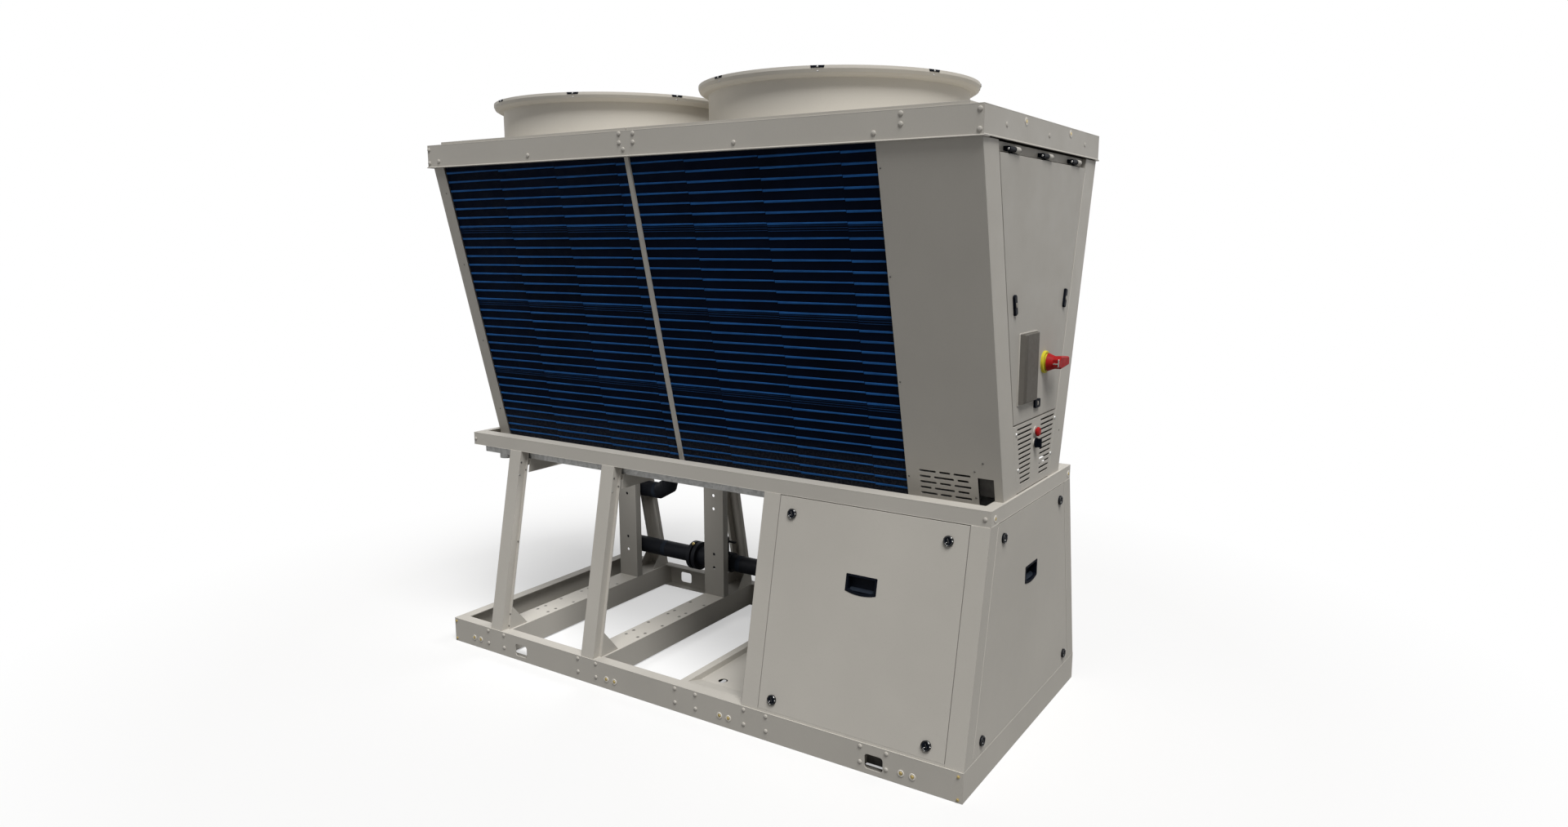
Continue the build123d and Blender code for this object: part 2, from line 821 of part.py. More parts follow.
def vent_panel():
    high = door_bottom - door_gap
    panel = cabinet_plate(vent_bottom, high, seat_gap, v_right - vent_fold, v_right)
    panel -= cabinet_plate(vent_bottom + sheet, high - sheet, sheet + seat_gap,
                           v_right - vent_fold, v_right - sheet)
    for cut in vent_slots():
        panel -= cut
    for z in (button_z, selector_z):
        start = (v_right - sheet, control_y, z)
        panel += cylinder_between(start, (1, 0, 0), control_collar_radius,
                                  sheet + control_collar_out)
        panel -= cylinder_between((v_right - 2 * sheet, control_y, z), (1, 0, 0),
                                  control_bore_radius, 3 * sheet + control_collar_out)
    return panel


coils = [coil(coil_left, divider_x - divider_wide / 2),
         coil(divider_x + divider_wide / 2, coil_right)]
save("coils_front", *coils)
save("coils_rear", *[behind(piece) for piece in coils])
save("coil_posts", left_post(), behind(left_post()), divider(), behind(divider()))
save("left_end_panel", left_end_panel())
save("cabinet_side_front", cabinet_side(True))
save("cabinet_side_rear", behind(cabinet_side(False)))
save("cabinet_stiles", stile(), behind(stile()))
save("cabinet_partition", partition())
save("cabinet_rails", hinge_rail(), stop_rail())
save("vent_panel", vent_panel())


# Door, hinges and what the door carries
def door():
    face = v_right
    leaf = cabinet_plate(door_bottom, door_top, door_gap, face - door_fold, face)
    leaf -= cabinet_plate(door_bottom + sheet, door_top - sheet, door_gap + sheet,
                          face - door_fold, face - sheet)
    return leaf


def fixed_hinge(y):
    """The fixed knuckle with its pin and the block that carries it on the rail."""
    axis = (hinge_axis_x, y - knuckle_half, hinge_axis_z)
    knuckle = cylinder_between(axis, (0, 1, 0), knuckle_radius, knuckle_half - 1)
    face = v_right - rail_recess
    carrier = block(face, hinge_axis_x, y - knuckle_half, y - 1, hinge_axis_z - 5,
                    hinge_axis_z + knuckle_radius)
    pin = cylinder_between(axis, (0, 1, 0), pin_radius, 2 * knuckle_half)
    return knuckle + carrier + pin


def hinge_strap(y):
    """The moving knuckle and the strap that comes up from behind the door's face."""
    axis = (hinge_axis_x, y + 1, hinge_axis_z)
    knuckle = cylinder_between(axis, (0, 1, 0), knuckle_radius, knuckle_half - 1)
    strap_x = v_right - door_fold / 2
    strap = block(strap_x, strap_x + 4, y + 1, y + knuckle_half, door_top, hinge_axis_z + 4)
    strap += block(strap_x, hinge_axis_x, y + 1, y + knuckle_half, hinge_axis_z - 4,
                   hinge_axis_z + 4)
    bore = cylinder_between(axis, (0, 1, 0), pin_radius + pin_clearance, knuckle_half)
    return knuckle + strap - bore


def latch(side):
    """A swing latch: a round-ended bar beside the door's edge, with its key boss."""
    plane = on_end(v_right, side * latch_y, latch_z) * Rot(0, 0, -side * spread_angle)
    bar = extrude(plane * RectangleRounded(latch_wide, latch_high, latch_wide / 3), latch_out)
    top = bar.faces().sort_by(Axis.X)[-1]
    bar = chamfer(top.edges(), latch_out / 4)
    key = plane * Pos(0, 0, latch_out - 2) * Circle(latch_wide / 4)
    return bar - extrude(key, latch_out)


def hood():
    """The cover over the control screen, its upright edges bevelled back to the door."""
    across = hood_wide / 2
    front = across - hood_bevel
    plan = Polyline((0, -across), (hood_out, -front), (hood_out, front), (0, across), close=True)
    foot = Pos(v_right + seat_gap, hood_y, hood_z - hood_high / 2)
    cover = extrude(foot * make_face(plan), hood_high)
    return fillet(cover.faces().sort_by(Axis.X)[-1].edges(), hood_out / 5)


def data_port():
    """A socket block with a D-shaped mouth."""
    plane = on_end(v_right, port_y, port_z)
    body = extrude(plane * RectangleRounded(port_wide, port_high, port_high / 6), port_out)
    flat = Pos(-port_hole_radius, 0) * Rectangle(port_hole_radius, 2 * port_hole_radius)
    mouth = plane * Pos(0, 0, port_out / 4) * (Circle(port_hole_radius) - flat)
    return body - extrude(mouth, port_out)


def isolator_plate():
    """A round plate with a boss that the handle's shaft runs in."""
    plane = on_end(v_right, isolator_y, isolator_z)
    plate = extrude(plane * Circle(isolator_radius), isolator_plate_step)
    plate += extrude(plane * Circle(isolator_boss_radius), isolator_plate_out)
    depth = isolator_shaft_depth + isolator_gap
    bore = cylinder_between((v_right + isolator_plate_out - depth, isolator_y, isolator_z),
                            (1, 0, 0), isolator_shaft_radius + pin_clearance, depth)
    return plate - bore


def isolator_handle():
    """A conical hub that carries a tapered grip, which points towards +Y."""
    start = v_right + isolator_plate_out + isolator_gap
    plane = on_end(start, isolator_y, isolator_z)
    neck = handle_out / 2
    hub = loft([plane * Circle(handle_hub_radius), plane * Pos(0, 0, neck) * Circle(handle_neck)])
    low, tip = handle_neck, 0.66 * handle_neck
    grip = Polyline((-low, 0.6 * low), (0, low), (handle_reach, tip), (handle_reach, -tip), (0, -low),
                    (-low, -0.6 * low), close=True)
    bar = extrude(plane * Pos(0, 0, neck) * make_face(grip), handle_out - neck)
    bar = fillet(bar.edges().filter_by(Axis.X), 0.3 * handle_neck)
    bar = chamfer(bar.faces().sort_by(Axis.X)[-1].edges(), handle_out / 12)
    reach = isolator_shaft_depth + isolator_gap
    shaft = cylinder_between((start - reach, isolator_y, isolator_z), (1, 0, 0),
                             isolator_shaft_radius, reach)
    return hub + bar + shaft


def stop_button():
    """A domed cap on a stem that slides in its collar."""
    stem_start = v_right - vent_fold
    cap_start = v_right + control_collar_out + button_travel + running_gap
    stem = cylinder_between((stem_start, control_y, button_z), (1, 0, 0),
                            control_bore_radius - running_gap, cap_start - stem_start)
    cap = cylinder_between((cap_start, control_y, button_z), (1, 0, 0), button_cap_radius,
                           button_cap_thick)
    return stem + chamfer(cap.faces().sort_by(Axis.X)[-1].edges(), button_cap_thick / 2,
                          button_cap_radius / 4)


def selector_knob():
    """A disc with a raised lever across it, on a stem that turns in its collar."""
    start = v_right - vent_fold
    face = v_right + control_collar_out + running_gap
    stem = cylinder_between((start, control_y, selector_z), (1, 0, 0),
                            control_bore_radius - running_gap, face - start)
    disc = cylinder_between((face, control_y, selector_z), (1, 0, 0), selector_radius, selector_base)
    out, wide, high = selector_lever
    lever = block(face, face + out, control_y - wide / 2, control_y + wide / 2,
                  selector_z - high / 2, selector_z + high / 2)
    return stem + disc + fillet(lever.edges().filter_by(Axis.Y), wide / 4)


save("cabinet_door", door())
save("hinges_fixed", *[fixed_hinge(y) for y in hinge_ys])
save("hinge_straps", *[hinge_strap(y) for y in hinge_ys])
save("door_latches", latch(-1), latch(1))
save("display_hood", hood())
save("data_port", data_port())
save("isolator_plate", isolator_plate())
save("isolator_handle", isolator_handle())
save("stop_button", stop_button())
save("selector_knob", selector_knob())


# Top frame, deck and fans
def top_rail():
    """A channel whose web stands back from the hem along its lower edge."""
    outer = -top_width / 2
    face = outer + hem_out
    inner = outer + base_flange
    reach = half - end_hem_out
    rail = block(-reach, reach, face, face + sheet, top_bottom, top_top)
    rail += block(-reach, reach, face, inner, top_top - sheet, top_top)
    rail += block(-half, half, outer, inner, top_bottom, top_bottom + sheet)
    hem = [(outer, top_bottom), (face, top_bottom), (face, top_bottom + hem_high),
           (outer, top_bottom + hem_high / 2)]
    return rail + slab_x(hem, -half, half)


def top_end(side):
    """The end rail between the long ones, with a deep top flange and the same hem."""
    inner_y = top_width / 2 - base_flange
    web_y = top_width / 2 - hem_out - sheet
    face = half - end_hem_out
    web = sorted((side * face, side * (face - sheet)))
    flange = sorted((side * face, side * (half - 2 * base_flange)))
    end = block(*web, -web_y, web_y, top_bottom + sheet, top_top - sheet)
    end += block(*flange, -inner_y, inner_y, top_top - sheet, top_top)
    hem = Polyline((side * face, top_bottom + sheet), (side * half, top_bottom + sheet),
                   (side * half, top_bottom + hem_high / 2 + sheet),
                   (side * face, top_bottom + hem_high + sheet), close=True)
    hem_y = top_width / 2 - hem_out
    return end + extrude(Plane.XZ * make_face(hem), hem_y, both=True)


def deck(left, right, fan_x):
    """A shallow sheet cover with a hole under its fan."""
    top = top_top + deck_rise
    cover = block(left, right, -deck_half, deck_half, top_top, top)
    cover -= block(left + sheet, right - sheet, -deck_half + sheet, deck_half - sheet, top_top,
                   top - sheet)
    return cover - Pos(fan_x, 0, top) * Cylinder(shroud_radius - shroud_sheet, 4 * deck_rise)


def flare(radius, low):
    """Points out along a ring's lip, which is rolled in steps along a quarter of an ellipse."""
    out = lip_radius - shroud_radius
    angles = [math.pi / 2 * step / flare_steps for step in range(flare_steps + 1)]
    return [(radius + out * math.sin(angle), low + flare_rise * (1 - math.cos(angle)))
            for angle in angles]


def shroud(x):
    """A rolled ring whose lip turns out and up into an upright band."""
    base = top_top + deck_rise
    low = shroud_top - lip_band - flare_rise
    inner = shroud_radius - shroud_sheet
    outside = flare(shroud_radius, low)
    inside = flare(inner, low + shroud_sheet)
    section = Polyline((shroud_radius, base), *outside, (lip_radius, shroud_top),
                       (lip_radius - shroud_sheet, shroud_top), *reversed(inside), (inner, base),
                       close=True)
    return Pos(x, 0, 0) * revolve(Plane.XZ * make_face(section), Axis.Z)


def guard(x):
    """A hub plate on radial arms, each of which bears on the inside of the lip."""
    top = shroud_top - guard_drop
    low = top - guard_bar
    reach = lip_radius - shroud_sheet - seat_gap
    spider = Pos(0, 0, low) * extrude(Circle(guard_hub_radius), guard_bar)
    for arm in range(guard_arms):
        bar = block(0, reach, -guard_bar, guard_bar, low, top)
        spider += Rot(0, 0, arm * 360 / guard_arms) * bar
    return Pos(x, 0, 0) * spider


def motor(x):
    top = shroud_top - guard_drop - guard_bar
    shaft_end = top - motor_drop - rotor_gap
    body = cylinder_between((x, 0, top - motor_drop), (0, 0, 1), motor_radius, motor_drop)
    return body + cylinder_between((x, 0, shaft_end), (0, 0, 1), motor_shaft_radius, rotor_gap)


def blade_profile(chord):
    """A cambered section of even thickness."""
    edge, back = chord / 2, -blade_thick
    rise = blade_camber * chord
    return make_face([ThreePointArc((-edge, 0), (0, rise), (edge, 0)),
                      Line((edge, 0), (edge, back)),
                      ThreePointArc((edge, back), (0, rise + back), (-edge, back)),
                      Line((-edge, back), (-edge, 0))])


def blade():
    """One blade, lofted through sections that widen, flatten and sweep back to the tip."""
    sections = []
    for station in range(blade_stations):
        share = station / (blade_stations - 1)
        radius = blade_tip * (blade_root + (1 - blade_root) * share)
        chord = blade_tip * (blade_root_chord + (blade_tip_chord - blade_root_chord) * share)
        pitch = blade_root_pitch + (blade_tip_pitch - blade_root_pitch) * share
        plane = Plane(origin=(radius, 0, 0), x_dir=(0, 1, 0), z_dir=(1, 0, 0))
        turned = plane * Rot(0, 0, pitch) * blade_profile(chord)
        sections.append(Rot(0, 0, -blade_sweep * share ** 1.6) * turned)
    return loft(sections, ruled=True)


def rotor(x):
    top = shroud_top - guard_drop - guard_bar - motor_drop - rotor_gap - seat_gap
    middle = top - rotor_hub_height / 2
    wheel = Cylinder(rotor_hub_radius, rotor_hub_height)
    for number in range(blade_count):
        wheel += Rot(0, 0, number * 360 / blade_count) * blade()
    wheel &= Cylinder(blade_tip, 2 * rotor_hub_height)
    return Pos(x, 0, middle) * wheel


save("top_frame_rails", top_rail(), behind(top_rail()), top_end(-1), top_end(1))
save("top_deck_left", deck(deck_left, deck_joint_x - deck_seam / 2, fan_xs[0]))
save("top_deck_right", deck(deck_joint_x + deck_seam / 2, deck_right, fan_xs[1]))
save("fan_shroud_left", shroud(fan_xs[0]))
save("fan_shroud_right", shroud(fan_xs[1]))
save("fan_guards", *[guard(x) for x in fan_xs])
save("fan_motors", *[motor(x) for x in fan_xs])
save("fan_rotor_left", rotor(fan_xs[0]))
save("fan_rotor_right", rotor(fan_xs[1]))
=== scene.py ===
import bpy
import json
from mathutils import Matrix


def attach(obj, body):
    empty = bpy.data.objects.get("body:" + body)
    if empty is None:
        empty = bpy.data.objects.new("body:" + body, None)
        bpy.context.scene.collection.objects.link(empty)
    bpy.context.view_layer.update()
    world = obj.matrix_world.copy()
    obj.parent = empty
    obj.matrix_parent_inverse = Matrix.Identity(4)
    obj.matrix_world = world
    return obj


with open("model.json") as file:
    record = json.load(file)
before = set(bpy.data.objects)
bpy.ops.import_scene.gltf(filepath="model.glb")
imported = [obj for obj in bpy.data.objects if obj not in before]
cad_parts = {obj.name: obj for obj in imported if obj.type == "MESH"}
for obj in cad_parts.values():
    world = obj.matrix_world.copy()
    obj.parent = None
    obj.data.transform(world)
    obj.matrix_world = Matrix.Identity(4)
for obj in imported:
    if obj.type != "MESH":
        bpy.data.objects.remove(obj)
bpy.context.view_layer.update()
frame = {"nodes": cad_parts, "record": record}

import json
import math

import bmesh
import bpy
from mathutils import Matrix, Vector

# The photograph's camera, found from the straight edges of the frame. CAD millimetres are
# measured from the middle of the steel base, and SHIFT takes them to the row's origin.
SHIFT = -26.5
IMAGE_WIDTH = 1920
FOCAL_PIXELS = 1222.8
SENSOR = 36.0
CAMERA_AT = (2301.2, -3269.3, 1747.7)
CAMERA_AIM = (-0.53787, 0.82533, -0.17179)

VIEW_DEPTH = 100

# Light: a low even sky, one wide soft lamp high on the right and a little in front, and a
# small one under the middle frame that lights the leg bay
SUN_FROM = (0.35, -0.30, 0.88)
SUN_STRENGTH = 3.1
SUN_WIDE = 30.0
FILL_AT, FILL_FROM = (-672.0, -90.0, 770.0), (0.12, -0.12, 1.0)
FILL_SIZE, FILL_POWER = (0.36, 0.36), 2.2
SKY = 0.20

# The floor: its radius in metres, where it fades, and its tones to the camera and to light
FLOOR_RADIUS = 14
FLOOR_FADE = (1.2, 3.2)
FLOOR_DROP = 0.0005
FLOOR_SEEN = 0.86
FLOOR_GLOW = 0.45
FLOOR_BOUNCE = 0.25

# Faces of the CAD model, in millimetres
LEAN_FOOT, LEAN_Z, LEAN = 551.0, 105.0, 0.20305
V_FOOT, V_Z, SPREAD = 275.0, 912.5, 0.24353
BASE_FACE, MID_FACE, TOP_FACE = 555.0, 396.5, 555.5
END_FACE, TOP_END, DOOR_FACE = 1200.0, 1197.5, 1192.0
BASE_TOP, MID_FOOT = 105.0, 858.5
COIL_LEFT, COIL_RIGHT, COIL_SUNK = -1114.0, 852.0, 8.0
DIVIDER = (-145.0, -126.0)
BAYS = (-937.0, -408.0)
FANS = (-655.0, 407.0)
LIP_RADIUS, RIM_TOP, GUARD_TOP = 507.0, 2287.0, 2283.0

PAINT = (0.50, 0.476, 0.432)
SHROUD_PAINT = (0.70, 0.665, 0.60)

nodes = frame["nodes"]


def at(x, y, z):
    """A point of the unit, in millimetres, as a point of the row, in metres."""
    return Vector(((x + SHIFT) / 1000, y / 1000, z / 1000))


# Materials
def new_material(name, color, rough=0.5, metal=0.0, shine=0.5):
    material = bpy.data.materials.new(name)
    material.use_nodes = True
    shader = material.node_tree.nodes["Principled BSDF"]
    shader.inputs["Base Color"].default_value = (*color, 1)
    shader.inputs["Roughness"].default_value = rough
    shader.inputs["Metallic"].default_value = metal
    shader.inputs["Specular IOR Level"].default_value = shine
    return material


def scaled(color, factor):
    return tuple(min(1.0, factor * c) for c in color)


class Graph:
    """Short calls for a material's node tree."""

    def __init__(self, material):
        self.tree = material.node_tree
        self.shader = self.tree.nodes["Principled BSDF"]
        self.coords = self.tree.nodes.new("ShaderNodeTexCoord")

    def node(self, kind, **inputs):
        node = self.tree.nodes.new(kind)
        for key, value in inputs.items():
            node.inputs[key.replace("_", " ")].default_value = value
        return node

    def link(self, out, into):
        self.tree.links.new(out, into)
        return into

    def mapped(self, stretch):
        mapping = self.node("ShaderNodeMapping", Scale=stretch)
        self.link(self.coords.outputs["Object"], mapping.inputs["Vector"])
        return mapping.outputs["Vector"]

    def noise(self, scale, detail=4.0, rough=0.6, stretch=(1, 1, 1)):
        noise = self.node("ShaderNodeTexNoise", Scale=scale, Detail=detail, Roughness=rough)
        self.link(self.mapped(stretch), noise.inputs["Vector"])
        return noise.outputs["Fac"]

    def cells(self, scale):
        cells = self.node("ShaderNodeTexVoronoi", Scale=scale)
        self.link(self.mapped((1, 1, 1)), cells.inputs["Vector"])
        return cells.outputs["Color"]

    def waves(self, scale, direction):
        wave = self.node("ShaderNodeTexWave", Scale=scale)
        wave.bands_direction = direction
        self.link(self.mapped((1, 1, 1)), wave.inputs["Vector"])
        return wave.outputs["Fac"]

    def axis(self, name):
        split = self.tree.nodes.new("ShaderNodeSeparateXYZ")
        self.link(self.coords.outputs["Object"], split.inputs[0])
        return split.outputs[name]

    def math(self, operation, first, second):
        node = self.tree.nodes.new("ShaderNodeMath")
        node.operation = operation
        for slot, value in enumerate((first, second)):
            if isinstance(value, (int, float)):
                node.inputs[slot].default_value = value
            else:
                self.link(value, node.inputs[slot])
        return node.outputs[0]

    def spread(self, value, low, high, start=0.0, end=1.0):
        ramp = self.node("ShaderNodeMapRange")
        self.link(value, ramp.inputs["Value"])
        ramp.inputs["From Min"].default_value = start
        ramp.inputs["From Max"].default_value = end
        ramp.inputs["To Min"].default_value = low
        ramp.inputs["To Max"].default_value = high
        return ramp.outputs["Result"]

    def blend(self, factor, first, second):
        mix = self.tree.nodes.new("ShaderNodeMix")
        mix.data_type = "RGBA"
        self.link(factor, mix.inputs[0])
        for slot, color in ((6, first), (7, second)):
            if isinstance(color, tuple):
                mix.inputs[slot].default_value = (*color, 1)
            else:
                self.link(color, mix.inputs[slot])
        return mix.outputs[2]

    def color(self, out):
        self.link(out, self.shader.inputs["Base Color"])

    def roughness(self, value, low, high):
        self.link(self.spread(value, low, high, 0.3, 0.7), self.shader.inputs["Roughness"])

    def bump(self, height, strength, distance, soft_edge=0.0):
        bump = self.node("ShaderNodeBump", Strength=strength, Distance=distance)
        self.link(height, bump.inputs["Height"])
        if soft_edge:
            bevel = self.node("ShaderNodeBevel", Radius=soft_edge)
            bevel.samples = 4
            self.link(bevel.outputs["Normal"], bump.inputs["Normal"])
        self.link(bump.outputs["Normal"], self.shader.inputs["Normal"])


def powder_coat(name, color, rough=0.5, edge=0.0018):
    """Powder-coated sheet: a fine orange peel, a faint drift of tone and fine darker specks."""
    material = new_material(name, color, rough, shine=0.28)
    graph = Graph(material)
    drift = graph.spread(graph.noise(2.2, 3.0), 0.0, 1.0, 0.3, 0.7)
    coat = graph.blend(drift, scaled(color, 0.96), scaled(color, 1.03))
    speck = graph.spread(graph.noise(260.0, 2.0, 0.7), 0.0, 0.35, 0.56, 0.72)
    graph.color(graph.blend(speck, coat, scaled(color, 0.86)))
    graph.roughness(graph.noise(9.0, 5.0), rough - 0.06, rough + 0.10)
    graph.bump(graph.noise(620.0, 2.0, 0.5), 0.10, 0.0004, edge)
    return material


def moulding(name, color, rough=0.45, shine=0.4, grain=900.0, patchy=0.12):
    """Moulded plastic: a fine spark texture and slightly uneven gloss."""
    material = new_material(name, color, rough, shine=shine)
    graph = Graph(material)
    patch = graph.spread(graph.noise(40.0, 3.0), 0.0, 1.0, 0.35, 0.65)
    graph.color(graph.blend(patch, scaled(color, 1 - patchy), scaled(color, 1 + patchy)))
    graph.roughness(graph.noise(60.0, 4.0), rough - 0.08, rough + 0.12)
    graph.bump(graph.noise(grain, 2.0, 0.6), 0.18, 0.0003, 0.0008)
    return material


def plated(name, color, rough=0.4, scale=90.0):
    """Zinc-plated or galvanised steel: crystals of slightly different tone."""
    material = new_material(name, color, rough, metal=0.85)
    graph = Graph(material)
    crystal = graph.tree.nodes.new("ShaderNodeSeparateColor")
    graph.link(graph.cells(scale), crystal.inputs[0])
    tone = graph.blend(crystal.outputs[0], scaled(color, 0.82), scaled(color, 1.15))
    graph.color(tone)
    graph.roughness(graph.noise(30.0, 4.0), rough - 0.08, rough + 0.14)
    graph.bump(graph.noise(300.0, 3.0, 0.6), 0.08, 0.0003)
    return material


def finned():
    """A coated coil face: near-black fins, turning a grainy grey along the foot of the coil, which
    is painted light thrown up from the floor.
    """
    dark, floor_lit_grey = (0.0016, 0.0036, 0.0105), (0.034, 0.036, 0.046)
    material = new_material("coil_coat", dark, 0.6, shine=0.03)
    graph = Graph(material)
    # Grey mixed in towards the foot of the coil, in fine grains: painted light thrown up from the
    # floor
    low = graph.spread(graph.axis("Z"), 1.0, 0.0, 0.90, 1.045)
    grains = graph.spread(graph.noise(150.0, 3.0, 0.7), 0.0, 1.0, 0.46, 0.56)
    floor_light_veil = graph.math("MULTIPLY", low, graph.spread(grains, 0.35, 1.0))
    patch = graph.spread(graph.noise(3.0, 3.0), 0.0, 1.0, 0.35, 0.65)
    fins = graph.blend(patch, scaled(dark, 0.8), scaled(dark, 1.5))
    graph.color(graph.blend(floor_light_veil, fins, floor_lit_grey))
    graph.roughness(graph.noise(20.0, 3.0), 0.5, 0.75)
    graph.bump(graph.waves(130.0, "X"), 0.4, 0.0008)
    return material


def tube_blue(name, color):
    material = new_material(name, color, 0.5, shine=0.1)
    graph = Graph(material)
    patch = graph.spread(graph.noise(14.0, 3.0, stretch=(1, 1, 6)), 0.0, 1.0, 0.35, 0.65)
    graph.color(graph.blend(patch, scaled(color, 0.8), scaled(color, 1.15)))
    graph.roughness(graph.noise(40.0, 3.0), 0.42, 0.62)
    graph.bump(graph.waves(130.0, "X"), 0.3, 0.0005)
    return material


casing = powder_coat("casing_coat", PAINT)
steel = powder_coat("frame_coat", PAINT, 0.52)
door_coat = powder_coat("door_coat", scaled(PAINT, 1.02), 0.5)
# Lighter and darker copies of the paint: painted shade on the cabinet door and the rear posts,
# painted light on the middle frame
shaded_hatch_coat = powder_coat("shaded_hatch_coat", scaled(PAINT, 0.88), 0.5)
lit_mid_coat = powder_coat("lit_mid_frame_coat", scaled(PAINT, 1.10), 0.5)
shaded_post_coat = powder_coat("shaded_rear_post_coat", scaled(PAINT, 0.62), 0.5)
shroud_coat = powder_coat("shroud_coat", SHROUD_PAINT, 0.55)
# A pale coat: painted highlight on the edge strips, and the pale colour of the bolt collars and
# rings
highlight_and_ring_coat = powder_coat("highlight_and_ring_coat", (0.72, 0.69, 0.63), 0.5, 0.0)
fins = finned()
tubes = tube_blue("coil_tube_blue", (0.016, 0.10, 0.31))
faint_tubes = tube_blue("coil_tube_shade", (0.006, 0.032, 0.10))
zinc = plated("galvanised", (0.46, 0.46, 0.45), 0.45)
bright = plated("bright_steel", (0.72, 0.72, 0.70), 0.25, 400.0)
yellow_zinc = plated("yellow_zinc", (0.66, 0.52, 0.22), 0.35, 300.0)
screw_dark = plated("screw_steel", (0.16, 0.155, 0.145), 0.45, 500.0)
foam = moulding("pipe_foam", (0.0075, 0.0085, 0.0115), 0.5, 0.12, 260.0)
slate = moulding("slate_moulding", (0.015, 0.020, 0.029), 0.6, 0.08)
# Grey for sheets set where openings look dark: painted shade
shade_sheet_coat = moulding("painted_shade_sheet", (0.16, 0.155, 0.15), 0.7, 0.1)
black = moulding("black_moulding", (0.0032, 0.0045, 0.0085), 0.45, 0.06)
gloss_black = moulding("lock_black", (0.004, 0.0045, 0.006), 0.15, 0.5)
blades = moulding("blade_black", (0.012, 0.0125, 0.014), 0.45, 0.3)
hood_grey = moulding("hood_moulding", (0.128, 0.118, 0.104), 0.6, 0.15, 420.0, 0.03)
key_grey = moulding("key_grey", (0.36, 0.33, 0.29), 0.5, 0.3)
yellow = moulding("yellow_moulding", (0.57, 0.50, 0.035), 0.45, 0.12)
red = moulding("red_moulding", (0.35, 0.011, 0.012), 0.45, 0.1)

slot_materials = {
    "casing_paint": casing, "frame_paint": steel, "door_paint": door_coat, "coil_fins": fins,
    "galvanised_sheet": zinc, "hinge_steel": black, "pipe_insulation": foam,
    "dark_plastic": black, "screen_cover": hood_grey, "yellow_plastic": yellow,
    "red_plastic": red, "guard_wire": black, "fan_blades": blades, "motor_housing": black,
}
for part in frame["record"]["subparts"]:
    node = nodes[part["node"]]
    node.data.materials.clear()
    node.data.materials.append(slot_materials[part["material_slot"]])
own_coats = {"fan_shroud_left": shroud_coat, "fan_shroud_right": shroud_coat,
             "cabinet_door": shaded_hatch_coat, "mid_frame_rails": lit_mid_coat, "rear_posts": shaded_post_coat}
for name, coat in own_coats.items():
    nodes[name].data.materials.clear()
    nodes[name].data.materials.append(coat)


# Shapes for the small pieces
def facing(point, outward, up=(0, 0, 1)):
    """A spot on a surface: x to the right, y up the surface and z out of it, in millimetres."""
    out = Vector(outward).normalized()
    right = Vector(up).cross(out).normalized()
    over = out.cross(right)
    turn = Matrix((right, over, out)).transposed().to_4x4()
    return Matrix.Translation(at(*point)) @ turn @ Matrix.Scale(0.001, 4)


def base_front(x, z):
    return facing((x, -BASE_FACE, z), (0, -1, 0))


def base_end(y, z):
    return facing((END_FACE, y, z), (1, 0, 0))


def lower_front(x, z, sunk=0.0):
    return facing((x, sunk - LEAN_FOOT + LEAN * (z - LEAN_Z), z), (0, -1, LEAN))


def mid_front(x, z):
    return facing((x, -MID_FACE, z), (0, -1, 0))


def v_side(x, z, sunk=0.0, side=-1):
    return facing((x, side * (V_FOOT + SPREAD * (z - V_Z) - sunk), z), (0, side, -SPREAD))


def on_door(y, z, out=0.0):
    return facing((DOOR_FACE + out, y, z), (1, 0, 0))


def top_front(x, z):
    return facing((x, -TOP_FACE, z), (0, -1, 0))


def top_end(y, z):
    return facing((TOP_END, y, z), (1, 0, 0))


def upward(x, y, z):
    return facing((x, y, z), (0, 0, 1), (0, 1, 0))


def turned(place, degrees):
    return place @ Matrix.Rotation(math.radians(degrees), 4, "Z")


def rounded(wide, high, radius, steps=3):
    """A rectangle with round corners, anticlockwise."""
    points = []
    for quarter, (across, up) in enumerate(((1, -1), (1, 1), (-1, 1), (-1, -1))):
        for step in range(steps + 1):
            angle = math.radians(90 * (quarter - 1 + step / steps))
            points.append((across * (wide / 2 - radius) + radius * math.cos(angle),
                           up * (high / 2 - radius) + radius * math.sin(angle)))
    return points


def shrunk(outline, inset):
    """The outline with each of its sides moved inward."""
    moved = []
    for k, point in enumerate(outline):
        here = Vector(point)
        coming = (here - Vector(outline[k - 1])).normalized()
        going = (Vector(outline[(k + 1) % len(outline)]) - here).normalized()
        inward = Vector((-coming.y - going.y, coming.x + going.x)) / (1 + coming.dot(going))
        moved.append(here + inset * inward)
    return moved


